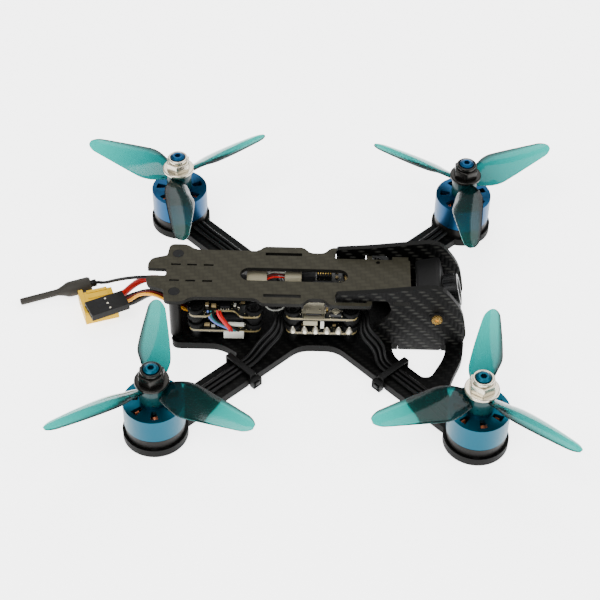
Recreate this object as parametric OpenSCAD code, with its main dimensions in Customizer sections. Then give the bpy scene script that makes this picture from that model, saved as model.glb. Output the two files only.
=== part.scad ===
// Small racing quadcopter: carbon airframe, four brushless motors with
// three-blade propellers, two electronics stacks and a tilting nose camera.
// X points to the nose, Y to the left, Z up; the origin is the centre of the
// main plate's underside.

/* [Propellers] */
// Diameter swept by a propeller
prop_d = 76.2; // [60:0.1:92]
// Widest chord of a blade
blade_chord = 12.3; // [9:0.1:14.5]
// Thickness of a blade at its root
blade_t = 1.5; // [1.1:0.1:2]
// Diameter of the propeller hub
prop_hub_d = 9.2; // [8:0.1:11]
// Height of the propeller hub
prop_hub_h = 7.6; // [6.2:0.1:9.2]

/* [Airframe] */
// Width of the main plate's middle
body_w = 29; // [27.6:0.1:35]
// Width of an arm
arm_w = 11.3; // [9.2:0.1:13.6]
// Thickness of the main plate
plate_t = 3; // [2.5:0.1:3.6]
// Width of the band that guards the nose
guard_w = 6.5; // [5.2:0.1:7.8]
// Height of the standoffs between the two plates
standoff_h = 18.5; // [17.4:0.1:22]
// Diameter of a standoff
standoff_d = 4.2; // [3.6:0.1:5]
// Thickness of the top plate
deck_t = 1.5; // [1.3:0.1:1.9]
// Widest width of the top plate
deck_w = 28.8; // [27.6:0.1:34]
// Thickness of a nose side plate
side_t = 2; // [1.6:0.1:2.4]
// Free width between the nose side plates
nose_gap = 20.6; // [20.2:0.1:22]
// Air between a propeller's tip and the top plate
prop_gap = 0.5; // [0.4:0.1:3]

/* [Motors] */
// Diameter of the rotor bell
bell_d = 20.4; // [20:0.1:24]
// Height of the rotor bell
bell_h = 9.1; // [9:0.1:11]
// Thickness of the bell's wall
bell_wall = 1.2; // [1:0.1:1.4]
// Height of the motor's base flange
motor_base_h = 3.4; // [2.8:0.1:4]
// Diameter of the steel spindle
spindle_d = 3; // [2.5:0.1:3.5]
// Diameter of the threaded stud that carries the propeller
stud_d = 5; // [4.2:0.1:6]
// Number of stator teeth
teeth = 9; // [6:3:12]
// Pitch circle of the motor's four fixing screws
screw_circle = 12; // [11:0.1:14]

/* [Electronics] */
// Width and length of a circuit board
board_w = 26; // [25:0.1:28]
// Thickness of a circuit board
board_t = 1.2; // [1:0.1:1.6]
// Hole spacing of the board stacks
stack_pitch = 20; // [19:0.1:21]
// Height of the spacers under the lower boards
lower_spacer_h = 4.2; // [3.6:0.1:5]
// Height of the spacers between the boards
upper_spacer_h = 5.6; // [5:0.1:6.6]
// Travel of the boot button
button_travel = 0.25; // [0.2:0.05:0.3]

/* [Camera] */
// Width of the camera case
camera_w = 19; // [16:0.1:19.8]
// Height of the camera case
camera_h = 16; // [13.4:0.1:16.6]
// Diameter of the lens barrel
lens_d = 12; // [10:0.1:14]
// Pitch of the lens above level at rest
camera_pitch = 15; // [5:1:25]

/* [Fasteners] */
// Thread diameter of the small screws
screw_d = 2; // [1.7:0.1:2.3]
// Head diameter of the countersunk screws
head_d = 3.8; // [3.4:0.1:4.4]
// Height of a countersunk head
head_h = 1.1; // [0.9:0.1:1.3]

/* [Hidden] */
$fn = 48;

// clearances
slip = 0.1;          // flat pieces that slot together
run = 0.03;          // spindle in its bearings, stud in hub and nut
air = 0.3;           // stator to magnets
screw_gap = 0.1;     // screw shank in a clearance hole

// levels
deck_z = plate_t + standoff_h;
deck_top = deck_z + deck_t;
lower_board_z = plate_t + lower_spacer_h;
lower_top = lower_board_z + board_t;
upper_board_z = lower_top + upper_spacer_h;
upper_top = upper_board_z + board_t;
stack_nut_h = 1.6;

// motor layout: tips clear the widest part of the top plate
motor_y = prop_d / 2 + prop_gap + deck_w / 2;
motor_x = motor_y;
corners = [[-1, -1], [1, -1], [-1, 1], [1, 1]];
arm_reach = norm([motor_x, motor_y]);
arm_angle = atan2(motor_y, motor_x);
pad_r = bell_d / 2 + 0.7;

// nose
side_in = nose_gap / 2;
side_out = side_in + side_t;
nose_x = 51;
tab_x = [28, 43];                  // side plate tabs in the main plate
deck_tab_x = [25.4, 31];           // top plate tabs in the side plates
deck_front = 31.6;
strip_y = side_in - 1.5;           // half width of the top plate between the side plates
window_x = [5.6, 16.4];            // front windows, which the side plates' hooks pass through
camera_x = 40.7;
camera_z = plate_t + 13;

// stacks
front_stack_x = 1.2;
rear_stack_x = -32.3;

// sockets and switch on the front upper board
usb_x = -1.6;
usb_size = [7.5, 5.6, 2.7];
button_x = 6;
button_y = board_w / 2 - 2;
button_r = 0.9;
button_base_h = 1.5;
button_floor = 0.5;                // thickness left under the plunger's bore

// camera, measured along its lens from the pivot
case_back = -5.6;
case_front = 3.2;
case_wall = 1.4;
lens_tip = 8.6;
glass_back = 1.2;                  // how far the front glass sits inside the barrel

// rear standoffs
ear_x = -49.6;
ear_y = 9.5;

// motor heights
base_r = bell_d / 2 - 0.3;
base_top = plate_t + motor_base_h;
bell_z = base_top + 0.5;
bell_top = bell_z + bell_h;
web_t = 1.4;
seat_h = 1.2;                      // collar that the propeller sits on
seat_z = bell_top + seat_h;
hub_top = seat_z + prop_hub_h;
magnet_t = 0.9;
magnet_r = bell_d / 2 - bell_wall;
stator_r = magnet_r - magnet_t - air;
tube_r = spindle_d / 2 + 2.4;
bearing_r = spindle_d / 2 + 1.5;
bearing_h = 2.5;
tube_top = bell_top - web_t - 0.4;
spindle_z = plate_t + 0.4;
stator_z = base_top + 1.5;
stator_h = tube_top - 1.2 - stator_z;
coil_gap = 0.7;
tooth_w = 1.3;
shoe_t = 0.8;
poles = 12;
spokes = 7;

// propeller: stations along a blade as fractions of its reach
tip_r = prop_d / 2;
stations = [0.09, 0.125, 0.17, 0.25, 0.34, 0.44, 0.55, 0.67, 0.79, 0.89, 0.955, 0.985, 1];

// propeller nut
flange_r = 5.75;
flange_h = 1.2;
nut_flats = 8;
hex_h = 3.6;
collar_h = 1.3;
nut_top = hub_top + flange_h + hex_h + collar_h;
stud_top = nut_top + 0.6;

// leads
lead_d = 1.4;
lead_pitch = 1.8;
tie_at = 37;
tie_w = 2.5;
tie_t = 0.8;
tie_in_h = 1.7;
// last stretch of the leads from the middle of the front stack: place, then how the row of
// three turns and tilts there
lead_in = [[19.6, 18, 6.8, 30, 20], [15.2, 13.4, 10.2, 20, 45], [14.6, 8.6, 12.1, 39, 40],
    [12.2, 4.6, 11.4, 60, 20], [9.6, 3.4, 9.6, 63, 0]];

// rest angle of each propeller's first blade, and its turning sense
blade_rest = [[2.6, 1], [-8.9, -1], [5.9, -1], [1.1, 1]];
tags = ["rear_right", "front_right", "rear_left", "front_left"];

// battery plug and signal plug
plug_at = [-78.6, 3.4];
plug_turn = 20;
plug_size = [12, 12.4, 5.6];
servo_at = [-74.6, -1.2];
servo_turn = 28;
servo_size = [14, 7.6, 2.5];

// antenna sleeve
sleeve_at = [-80.4, 13.4, 4.1];
sleeve_to = [-107, 5, 1.45];
sleeve_d = [2.6, 5.6, 2.5];
sleeve_len = [2, 11];

// cord routes, in the part's own frame
coax_d = 1.2;
coax_path = [[-43, 0.5, 16.6], [-46, 0.5, 17.6], [-50, 0.6, 18.6], [-54, 1, 19],
    [-58, 1.8, 18.6], [-62, 3.2, 17.2], [-66, 5, 15], [-70, 7.2, 12.1],
    [-73.6, 9.4, 9], [-76.4, 11.2, 6.4], [-78.6, 12.6, 4.8]];
red_d = 2.4;
red_path = [[-41.5, 4.6, 10.1], [-45, 4.6, 10.6], [-49, 4.7, 12.4], [-53, 5, 14],
    [-57, 5.6, 14.4], [-61, 6.6, 13], [-64.6, 7.6, 10.2], [-67.4, 8.2, 7],
    [-69.6, 8.4, 4.4], [-72.1, 8.2, 2.8]];
black_d = 2.4;
black_path = [[-41.5, 1.2, 10.1], [-45, 1.2, 10.3], [-49, 1.3, 11.2], [-53, 1.6, 11.8],
    [-57, 2.2, 11.2], [-60.6, 3, 9], [-63.6, 3.8, 6.2], [-66.6, 4.2, 3.8],
    [-70.4, 3.6, 2.8]];
signal_d = [3.4, 1.1];
signal_path = [[-41.5, -4.2, 9.4], [-45, -4.2, 9.8], [-49, -3.8, 11.6], [-53, -3, 13.4],
    [-57, -1.2, 13.8], [-60.2, 0.6, 12.4], [-62.8, 2.3, 10.2], [-65, 3.1, 8.3],
    [-66.5, 3.05, 7.4], [-68.15, 2.22, 7]];

// ---- helpers

function unit(v) = v / norm(v);

// a corner at b, cut back by c towards a and d and bent into a curve
function bend(a, b, d, c) =
    let (m = min(c, norm(a - b) * 0.48, norm(d - b) * 0.48),
         p = b + unit(a - b) * m, q = b + unit(d - b) * m)
    c == 0 ? [b] : [for (t = [0:0.2:1]) (1 - t) * (1 - t) * p + 2 * t * (1 - t) * b + t * t * q];

// outline from corners [x, y, cut]
function soft(pts) =
    let (n = len(pts), xy = [for (p = pts) [p[0], p[1]]])
    [for (i = [0:n - 1]) each bend(xy[(i + n - 1) % n], xy[i], xy[(i + 1) % n], pts[i][2])];

// half an outline closed by its own mirror image across the X axis
function both(half) = concat(half,
    [for (i = [len(half) - 1:-1:0]) if (half[i][1] > 0) [half[i][0], -half[i][1], half[i][2]]]);

module each_corner() {
    for (c = corners) translate([c[0] * motor_x, c[1] * motor_y, 0]) children();
}

module each_stack_hole() {
    for (x = [front_stack_x, rear_stack_x], i = [-1, 1], j = [-1, 1])
        translate([x + i * stack_pitch / 2, j * stack_pitch / 2, 0]) children();
}

module at_motor(i) {
    translate([corners[i][0] * motor_x, corners[i][1] * motor_y, 0]) children();
}

module ring(r_out, r_in, h) {
    difference() {
        cylinder(r = r_out, h = h);
        translate([0, 0, -1]) cylinder(r = r_in, h = h + 2);
    }
}

module countersunk_hole(depth) {
    translate([0, 0, -1]) cylinder(d = screw_d + 2 * screw_gap, h = depth + 2);
    translate([0, 0, -0.01])
        cylinder(d1 = head_d + 2 * screw_gap, d2 = screw_d + 2 * screw_gap, h = head_h + 0.01);
}

module countersunk_screw(length) {
    cylinder(d1 = head_d, d2 = screw_d, h = head_h);
    cylinder(d = screw_d, h = length);
}

// a tube swept along a route; its section is wide by high, with eight sides
module swept(path, wide, high) {
    n = len(path);
    sides = 8;
    rings = [for (i = [0:n - 1])
        let (t = unit(path[min(i + 1, n - 1)] - path[max(i - 1, 0)]),
             u = unit(cross([0, 0, 1], t)), v = cross(t, u))
        for (k = [0:sides - 1])
            path[i] + u * wide / 2 * cos(k * 360 / sides) + v * high / 2 * sin(k * 360 / sides)];
    walls = [for (i = [0:n - 2], k = [0:sides - 1])
        let (a = i * sides + k, b = i * sides + (k + 1) % sides)
        each [[a + sides, b + sides, b], [a + sides, b, a]]];
    polyhedron(rings, concat([[for (k = [0:sides - 1]) k]],
        [[for (k = [sides - 1:-1:0]) (n - 1) * sides + k]], walls));
}

// ---- airframe

// x of an arm's outer and inner edge at a given distance from the centre line
function arm_edge(y) = y * motor_x / motor_y + arm_w / 2 / sin(arm_angle);
function arm_root(y) = y * motor_x / motor_y - arm_w / 2 / sin(arm_angle);

// the arm's square end under the motor, rear or front, on its inner or outer side
function arm_end(s, k) = [s * (motor_x + k * arm_w / 2 * sin(arm_angle)),
    motor_y - k * arm_w / 2 * cos(arm_angle), 0];

module plate_outline() {
    belly = body_w / 2 - 0.2;
    polygon(soft(both([[-51, 0, 0], [-51, body_w / 2, 3], [-34, body_w / 2, 3.5],
        [-arm_edge(19.2), 19.2, 2], arm_end(-1, 1), arm_end(-1, -1),
        [-arm_root(belly), belly, 4], [arm_root(belly), belly, 4],
        arm_end(1, -1), arm_end(1, 1), [arm_edge(36), 36, 1.5],
        [46.4, 27.5, 6], [50.2, 18.5, 6], [nose_x, side_out - 1, 3], [nose_x, 0, 0]])));
}

module main_plate() {
    color([0.16, 0.16, 0.15]) difference() {
        union() {
            linear_extrude(plate_t) plate_outline();
            each_corner() cylinder(r = pad_r, h = plate_t);
        }
        // triangle between arm, nose and guard
        for (m = [0, 1]) mirror([0, m, 0]) translate([0, 0, -1]) linear_extrude(plate_t + 2)
            polygon(soft([[25.6, side_out, 1], [nose_x + 0.4 - guard_w, side_out, 1],
                [50.2 - guard_w, 18.8, 6], [45.6 - guard_w, 27.6, 2],
                [arm_edge(28.2), 28.2, 1.5], [arm_edge(18.4), 18.4, 3]]));
        // notches for the side plates' tabs
        for (m = [0, 1]) mirror([0, m, 0])
            translate([tab_x[0] - slip, side_in - slip, -1])
                cube([tab_x[1] - tab_x[0] + 2 * slip, side_t + 1, plate_t + 2]);
        each_stack_hole() countersunk_hole(plate_t);
        for (j = [-1, 1]) translate([ear_x, j * ear_y, 0]) countersunk_hole(plate_t);
        each_corner() {
            translate([0, 0, -1]) cylinder(d = spindle_d + 2, h = plate_t + 2);
            for (a = [45:90:315]) rotate(a) translate([screw_circle / 2, 0, 0])
                countersunk_hole(plate_t);
        }
        // underside grooves that keep the ties flush
        for (c = corners) rotate(atan2(c[1] * motor_y, c[0] * motor_x))
            translate([tie_at - tie_w / 2 - slip, -arm_w / 2 - 1, -1])
                cube([tie_w + 2 * slip, arm_w + 2, 1 + tie_t + 2 * slip]);
    }
}

module top_plate() {
    widest = deck_w / 2;
    window_out = max(widest - 1.5, side_out + 0.3);
    half = [[-53.1, 0, 0], [-53.1, 1.7, 0.8], [-59.7, 1.8, 0.5], [-59.7, 4.4, 1],
        [-58.6, 6.9, 1.5], [-53.4, 8.6, 0.8], [-52.8, widest, 2], [-46.6, widest, 2],
        [-43.6, widest - 2.6, 2], [-21.4, widest - 2.6, 1.5], [-19.6, widest - 0.2, 1.5],
        [-5.6, widest - 0.2, 1.5], [-3.4, widest - 3, 1.5], [1.6, widest - 3, 1.5],
        [4, widest, 1.5], [18, widest, 1.5], [18.4, strip_y, 0.6],
        [deck_front, strip_y, 0.6], [deck_front, 0, 0]];
    color([0.3, 0.29, 0.26]) difference() {
        translate([0, 0, deck_z]) union() {
            linear_extrude(deck_t) polygon(soft(both(half)));
            for (m = [0, 1]) mirror([0, m, 0]) translate([deck_tab_x[0], strip_y - 1, 0])
                cube([deck_tab_x[1] - deck_tab_x[0], side_out - strip_y + 1, deck_t]);
        }
        translate([0, 0, deck_z - 1]) linear_extrude(deck_t + 2) {
            // long slot over the wiring
            for (x = [-24.2, 6.7]) translate([x, 0]) circle(r = 3.2);
            translate([-24.2, -3.2]) square([30.9, 6.4]);
            for (m = [0, 1]) mirror([0, m, 0]) {
                // strap slots
                translate([-19, widest - 4.7]) square([12.8, 1.4]);
                // front windows
                polygon(soft([[window_x[0], strip_y, 0.6], [window_x[1], strip_y, 0.6],
                    [window_x[1], window_out, 0.6], [window_x[0], window_out, 0.6]]));
                // slits
                for (x = [-50, -44.4, -38.6]) translate([x - 1.7, 3.6]) square([3.4, 0.8]);
                translate([20.4, 7.4]) circle(r = 0.7);
            }
        }
        for (j = [-1, 1]) translate([ear_x, j * ear_y, deck_top]) mirror([0, 0, 1])
            countersunk_hole(deck_t);
    }
}

module side_plate() {
    // the hook at its rear passes down through the top plate's front window
    profile = [[window_x[0] + 0.3, deck_z - 1, 0.4], [window_x[0] + 0.3, deck_top + 2.7, 0.8],
        [17.8, deck_top + 3.9, 2], [41.6, deck_top + 7.4, 5], [49.4, camera_z + 3.4, 6], [51.4, plate_t + 5, 2],
        [50.2, plate_t, 0], [tab_x[1], plate_t, 0], [tab_x[1], 0.05, 0.8], [tab_x[0], 0.05, 0.8],
        [tab_x[0], plate_t, 0], [21.8, plate_t, 1], [18.9, plate_t + 3, 2.5],
        [19.2, plate_t + 7.6, 3], [23.4, plate_t + 11, 6], [25.3, deck_z - 3.4, 4],
        [23.6, deck_top + 0.5, 1.2], [window_x[1] - 0.3, deck_top + 0.5, 0.3],
        [window_x[1] - 0.3, deck_z - 1, 0.4]];
    color([0.13, 0.13, 0.13]) translate([0, side_in, 0]) difference() {
        translate([0, side_t, 0]) rotate([90, 0, 0]) linear_extrude(side_t) polygon(soft(profile));
        // slot for the top plate's tab
        translate([deck_tab_x[0] - slip, -1, deck_z - slip])
            cube([deck_tab_x[1] - deck_tab_x[0] + 2 * slip, side_t + 2, deck_t + 2 * slip]);
        // pivot hole of the camera
        translate([camera_x, -1, camera_z]) rotate([-90, 0, 0])
            cylinder(d = screw_d + 2 * run, h = side_t + 2);
    }
}

module side_plate_left() {
    side_plate();
}

module side_plate_right() {
    mirror([0, 1, 0]) side_plate();
}

module rear_standoffs() {
    color([0.1, 0.1, 0.11]) for (j = [-1, 1]) translate([ear_x, j * ear_y, plate_t]) difference() {
        cylinder(d = standoff_d, h = standoff_h);
        translate([0, 0, -1]) cylinder(d = screw_d, h = 6);
        translate([0, 0, standoff_h - 5]) cylinder(d = screw_d, h = 6);
    }
}

module plate_screws() {
    color([0.2, 0.2, 0.21]) {
        each_corner() for (a = [45:90:315]) rotate(a) translate([screw_circle / 2, 0, 0.02])
            countersunk_screw(plate_t + motor_base_h - 0.6);
        for (j = [-1, 1]) translate([ear_x, j * ear_y, 0]) {
            translate([0, 0, 0.02]) countersunk_screw(plate_t + 4.5);
            translate([0, 0, deck_top - 0.02]) mirror([0, 0, 1]) countersunk_screw(deck_t + 4.5);
        }
    }
}

// ---- stacks

module stack_screws() {
    color([0.12, 0.12, 0.13]) each_stack_hole() translate([0, 0, 0.02])
        countersunk_screw(upper_top + stack_nut_h + 0.6);
}

module stack_spacers() {
    color([0.1, 0.1, 0.1]) each_stack_hole() {
        translate([0, 0, plate_t]) ring(2.1, screw_d / 2 + screw_gap, lower_spacer_h);
        translate([0, 0, lower_top]) ring(2.1, screw_d / 2 + screw_gap, upper_spacer_h);
    }
}

module stack_nuts() {
    color([0.12, 0.12, 0.12]) each_stack_hole() translate([0, 0, upper_top]) difference() {
        cylinder(d = 4.6, h = stack_nut_h, $fn = 6);
        translate([0, 0, -1]) cylinder(d = screw_d, h = stack_nut_h + 2);
    }
}

// a board whose four ears carry the stack's holes; waist narrows its long edges
module board(x, z, waist) {
    w = board_w / 2;
    ear = stack_pitch / 2 - 4.5;
    half = [[-w + 0.6, 0, 0], [-w + 0.6, w, 2.4], [-ear, w, 1.5], [-ear + 2, w - waist, 1.5],
        [ear - 2, w - waist, 1.5], [ear, w, 1.5], [w - 0.6, w, 2.4], [w - 0.6, 0, 0]];
    translate([x, 0, z]) difference() {
        linear_extrude(board_t) polygon(soft(both(half)));
        for (i = [-1, 1], j = [-1, 1]) translate([i * stack_pitch / 2, j * stack_pitch / 2, -1])
            cylinder(d = screw_d + 2 * screw_gap, h = board_t + 2);
    }
}

// a soldered component centred at x, y on a board's face
module chip(x, y, z, size) {
    translate([x - size[0] / 2, y - size[1] / 2, z]) cube(size);
}

module esc_board() {
    color([0.16, 0.17, 0.15]) {
        board(front_stack_x, lower_board_z, 0);
        for (i = [-1, 1], j = [-1, 1])
            chip(front_stack_x + i * 4.6, j * 4, lower_top, [5, 5, 0.9]);
        chip(front_stack_x, 0, lower_top, [3.6, 2.2, 1.2]);
    }
}

module fc_board() {
    color([0.15, 0.16, 0.14]) {
        board(front_stack_x, upper_board_z, 0);
        chip(front_stack_x, 1, upper_top, [7, 7, 1]);
        chip(front_stack_x + 7, 2, upper_top, [3, 4, 1.1]);
        chip(front_stack_x + 9.8, -5.4, upper_top, [3.2, 2.6, 1.6]);
        chip(front_stack_x - 6.5, 6.4, upper_top, [8, 3, 2.4]);
        // body of the boot switch, bored for its plunger
        difference() {
            chip(button_x, -button_y, upper_top, [3.8, 3, button_base_h]);
            translate([button_x, -button_y, upper_top + button_floor])
                cylinder(r = button_r + run, h = button_base_h, $fn = 32);
        }
    }
}

module boot_button() {
    color([0.75, 0.74, 0.7]) translate([button_x, -button_y, upper_top + button_floor + button_travel + 0.05])
        cylinder(r = button_r, h = button_base_h - button_floor + 0.35, $fn = 32);
}

module usb_socket() {
    color([0.72, 0.71, 0.66]) translate([usb_x, -board_w / 2 - 0.6, upper_top]) difference() {
        translate([-usb_size[0] / 2, 0, 0]) cube(usb_size);
        translate([-usb_size[0] / 2 + 0.35, -1, 0.4]) cube(usb_size - [0.7, 0, 0.8]);
    }
}

module power_board() {
    color([0.15, 0.16, 0.14]) {
        board(rear_stack_x, lower_board_z, 0);
        chip(rear_stack_x + 4, 3, lower_top, [6, 6, 1.6]);
        chip(rear_stack_x + 3, -8.6, lower_top, [6.5, 3.6, 3.4]);
        chip(rear_stack_x - 3, 5, lower_top, [4, 3, 1.2]);
    }
}

module video_board() {
    color([0.15, 0.16, 0.14]) {
        board(rear_stack_x, upper_board_z, 3);
        chip(rear_stack_x + 2.5, 0, upper_top, [13, 12, 1.8]);
        chip(rear_stack_x - 7.6, -4.6, upper_top, [3.4, 3, 1.6]);
        chip(rear_stack_x - 8.7, 0.5, upper_top, [2.6, 2.6, 0.7]);
    }
}

// ---- camera, drawn level about its pivot and pitched to its rest angle

module at_camera() {
    translate([camera_x, 0, camera_z]) rotate([0, -camera_pitch, 0]) children();
}

module camera_case() {
    h = camera_h / 2;
    outline = [[case_back, -h, 1.2], [case_front, -h, 1.6], [case_front, h, 1.6], [case_back, h, 1.2]];
    color([0.09, 0.09, 0.1]) at_camera() difference() {
        translate([0, camera_w / 2, 0]) rotate([90, 0, 0]) linear_extrude(camera_w) polygon(soft(outline));
        // hollow behind the lens and its thread
        translate([case_back + case_wall, -camera_w / 2 + 2, -h + case_wall])
            cube([case_front - case_back, camera_w - 4, camera_h] - case_wall * [2, 0, 2]);
        rotate([0, 90, 0]) cylinder(d = lens_d - 2, h = 10);
        // threads for the pivot screws
        for (j = [-1, 1]) translate([0, j * (camera_w / 2 + 1), 0]) rotate([j * 90, 0, 0])
            cylinder(d = screw_d, h = 4);
    }
}

module camera_lens() {
    color([0.06, 0.06, 0.07]) at_camera() rotate([0, 90, 0]) {
        difference() {
            union() {
                translate([0, 0, -1.5]) cylinder(d = lens_d - 2, h = lens_tip + 1.5);
                translate([0, 0, case_front]) cylinder(d = lens_d, h = lens_tip - case_front);
            }
            translate([0, 0, lens_tip - glass_back]) cylinder(d = lens_d - 3, h = 2);
        }
        // front element
        translate([0, 0, lens_tip - glass_back]) intersection() {
            cylinder(d = lens_d - 3, h = 3);
            translate([0, 0, -7.4]) sphere(r = 8.3, $fn = 48);
        }
    }
}

module camera_screws() {
    reach = side_out + 0.1;
    color([0.8, 0.66, 0.36]) at_camera() for (j = [-1, 1]) rotate([-j * 90, 0, 0]) difference() {
        union() {
            translate([0, 0, camera_w / 2 - 1.6]) cylinder(d = screw_d, h = reach - camera_w / 2 + 1.7);
            translate([0, 0, reach]) cylinder(d = 3.6, h = 1.3);
        }
        translate([0, 0, reach + 0.6]) cylinder(d = 1.5, h = 2, $fn = 6);
    }
}

// ---- motors

module motor_base(i) {
    color([0.1, 0.1, 0.11]) at_motor(i) translate([0, 0, plate_t]) difference() {
        union() {
            cylinder(r = base_r, h = motor_base_h);
            cylinder(r = tube_r, h = tube_top - plate_t);
        }
        translate([0, 0, -1]) cylinder(r = bearing_r, h = tube_top);
        for (a = [45:90:315]) rotate(a) translate([screw_circle / 2, 0, -1])
            cylinder(d = screw_d, h = motor_base_h + 0.6);
        // lightening pockets between the screws
        for (a = [0:90:270]) rotate(a) translate([(tube_r + base_r) / 2, 0, 0.8])
            cylinder(r = 1.5, h = motor_base_h);
    }
}

module bearings() {
    color([0.7, 0.7, 0.72]) each_corner() {
        translate([0, 0, spindle_z + 0.2]) ring(bearing_r, spindle_d / 2 + run, bearing_h);
        translate([0, 0, tube_top - bearing_h - 0.1]) ring(bearing_r, spindle_d / 2 + run, bearing_h);
    }
}

module stator(i) {
    color([0.35, 0.35, 0.37]) at_motor(i) translate([0, 0, stator_z]) linear_extrude(stator_h) difference() {
        union() {
            circle(r = tube_r + 1);
            for (a = [0:360 / teeth:359]) rotate(a)
                translate([tube_r + 0.5, -tooth_w / 2]) square([stator_r - tube_r - 0.9, tooth_w]);
            intersection() {
                difference() {
                    circle(r = stator_r);
                    circle(r = stator_r - shoe_t);
                }
                for (a = [0:360 / teeth:359]) rotate(a)
                    polygon([[1, 0], [stator_r + 2, -stator_r * 0.3], [stator_r + 2, stator_r * 0.3]]);
            }
        }
        circle(r = tube_r);
    }
}

module windings(i) {
    inner = tube_r + 1.05;
    outer = (stator_r - shoe_t) * cos(180 / teeth) - 0.05;
    color([0.75, 0.42, 0.25]) at_motor(i) translate([0, 0, stator_z])
        for (a = [0:360 / teeth:359]) rotate(a) difference() {
            w = 2 * inner * tan(180 / teeth) - 0.1;
            translate([inner, -w / 2, -coil_gap]) cube([outer - inner, w, stator_h + 2 * coil_gap]);
            translate([inner - 1, -tooth_w / 2 - 0.02, -0.02])
                cube([outer - inner + 2, tooth_w + 0.04, stator_h + 0.04]);
        }
}

module magnets(i) {
    color([0.55, 0.55, 0.57]) at_motor(i) translate([0, 0, stator_z]) for (a = [0:360 / poles:359]) rotate(a)
        intersection() {
            ring(magnet_r, magnet_r - magnet_t, stator_h);
            translate([0, -magnet_r * 0.22, -1]) cube([magnet_r + 1, magnet_r * 0.44, stator_h + 2]);
        }
}

module bell(i) {
    far = corners[i][1] > 0;
    color(far ? [0.2, 0.5, 0.68] : [0.18, 0.56, 0.7]) at_motor(i) difference() {
        union() {
            translate([0, 0, bell_z]) ring(bell_d / 2, magnet_r, bell_h - web_t);
            translate([0, 0, bell_top - web_t]) cylinder(r = bell_d / 2, h = web_t);
            translate([0, 0, bell_top - 0.01]) cylinder(d = prop_hub_d - 0.4, h = seat_h + 0.01);
            translate([0, 0, seat_z - 0.01]) cylinder(d = stud_d, h = stud_top - seat_z - 0.4);
            translate([0, 0, stud_top - 0.41]) cylinder(d1 = stud_d, d2 = stud_d - 1.6, h = 0.41);
        }
        // windows over the windings
        translate([0, 0, bell_top - web_t - 1]) intersection() {
            ring(magnet_r - 0.4, prop_hub_d / 2 + 0.5, web_t + 2);
            for (a = [0:360 / spokes:359]) rotate(a)
                linear_extrude(web_t + 2) polygon([[2, 0.3], [12, 2.4], [12, 6.9], [2, 0.85]]);
        }
        // seat of the steel spindle
        translate([0, 0, bell_top - web_t - 1]) cylinder(d = spindle_d, h = web_t + seat_h + 1);
        // hexagon socket in the stud's tip
        translate([0, 0, stud_top - 1.8]) cylinder(d = 2.3, h = 3, $fn = 6);
    }
}

module spindle(i) {
    color([0.75, 0.75, 0.76]) at_motor(i) translate([0, 0, spindle_z])
        cylinder(d = spindle_d, h = seat_z - spindle_z - 0.2);
}

module prop_nut(i) {
    silver = corners[i][0] * corners[i][1] < 0;
    color(silver ? [0.8, 0.77, 0.7] : [0.12, 0.12, 0.13]) at_motor(i) translate([0, 0, hub_top]) difference() {
        union() {
            cylinder(r = flange_r, h = flange_h);
            translate([0, 0, flange_h - 0.01]) cylinder(d = nut_flats / cos(30), h = hex_h, $fn = 6);
            translate([0, 0, flange_h + hex_h - 0.02]) cylinder(r = nut_flats / 2 - 0.4, h = collar_h + 0.02);
        }
        translate([0, 0, -1]) cylinder(r = stud_d / 2 + run, h = 12);
    }
}

// ---- propellers

// planform: narrow neck, widest at a third of the radius, blunt round tip
function chord(f) = blade_chord * (f < 0.36
    ? 0.46 + 0.54 * sin((f - 0.09) / 0.27 * 90)
    : (1 - 0.56 * pow((f - 0.36) / 0.6, 1.15)) * sqrt(max(0.01, 1 - pow(max(0, f - 0.9) / 0.103, 2))));
function pitch(f) = f < 0.25 ? 33 + 16 * (f - 0.1) : 35.4 - 19 * sqrt((f - 0.25) / 0.75);
function rise(f) = 0.62 * prop_hub_h + 0.3 * prop_hub_h * sqrt(max(0, f - 0.09));
function camber(f, s) = 0.06 * chord(f) * (1 - 4 * s * s);
function thick(f, s) = blade_t * (1.04 - 0.72 * f) * sqrt(max(0.02, 1 - 4 * s * s)) / 2;

// section points: chord fraction s from leading edge to trailing edge, then back underneath
chord_steps = [-0.5, -0.4, -0.2, 0, 0.2, 0.4, 0.5];
function section(f, sense) =
    let (top = [for (s = chord_steps) [s, 1]], low = [for (k = [5:-1:1]) [chord_steps[k], -1]])
    [for (p = concat(top, low))
        let (a = p[0] * chord(f), b = camber(f, p[0]) + p[1] * thick(f, p[0]), g = pitch(f))
        [f * tip_r, -sense * (a * cos(g) + b * sin(g)), rise(f) - a * sin(g) + b * cos(g)]];

module blade(sense) {
    m = 12;
    n = len(stations);
    pts = [for (f = stations) each section(f, sense)];
    walls = [for (i = [0:n - 2], k = [0:m - 1])
        let (a = i * m + k, b = i * m + (k + 1) % m) each [[a, b, b + m], [a, b + m, a + m]]];
    faces = concat([[for (k = [m - 1:-1:0]) k]], [[for (k = [0:m - 1]) (n - 1) * m + k]], walls);
    polyhedron(pts, sense < 0 ? faces : [for (w = faces) [for (k = [len(w) - 1:-1:0]) w[k]]]);
}

module propeller(i) {
    start = blade_rest[i][0] - corners[i][1] * 90;
    color([0.35, 0.66, 0.62]) at_motor(i) translate([0, 0, seat_z]) difference() {
        union() {
            cylinder(d = prop_hub_d, h = prop_hub_h);
            for (a = [0:120:240]) rotate(start + a) blade(blade_rest[i][1]);
        }
        translate([0, 0, -1]) cylinder(r = stud_d / 2 + run, h = prop_hub_h + 2);
    }
}

// ---- wiring

// point on an arm: distance from the centre, offset across, height
function on_arm(c, d, k, z) =
    let (a = unit([c[0] * motor_x, c[1] * motor_y]), n = unit([motor_y, -c[0] * c[1] * motor_x]))
    [a[0] * d + n[0] * k, a[1] * d + n[1] * k, z];

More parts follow.
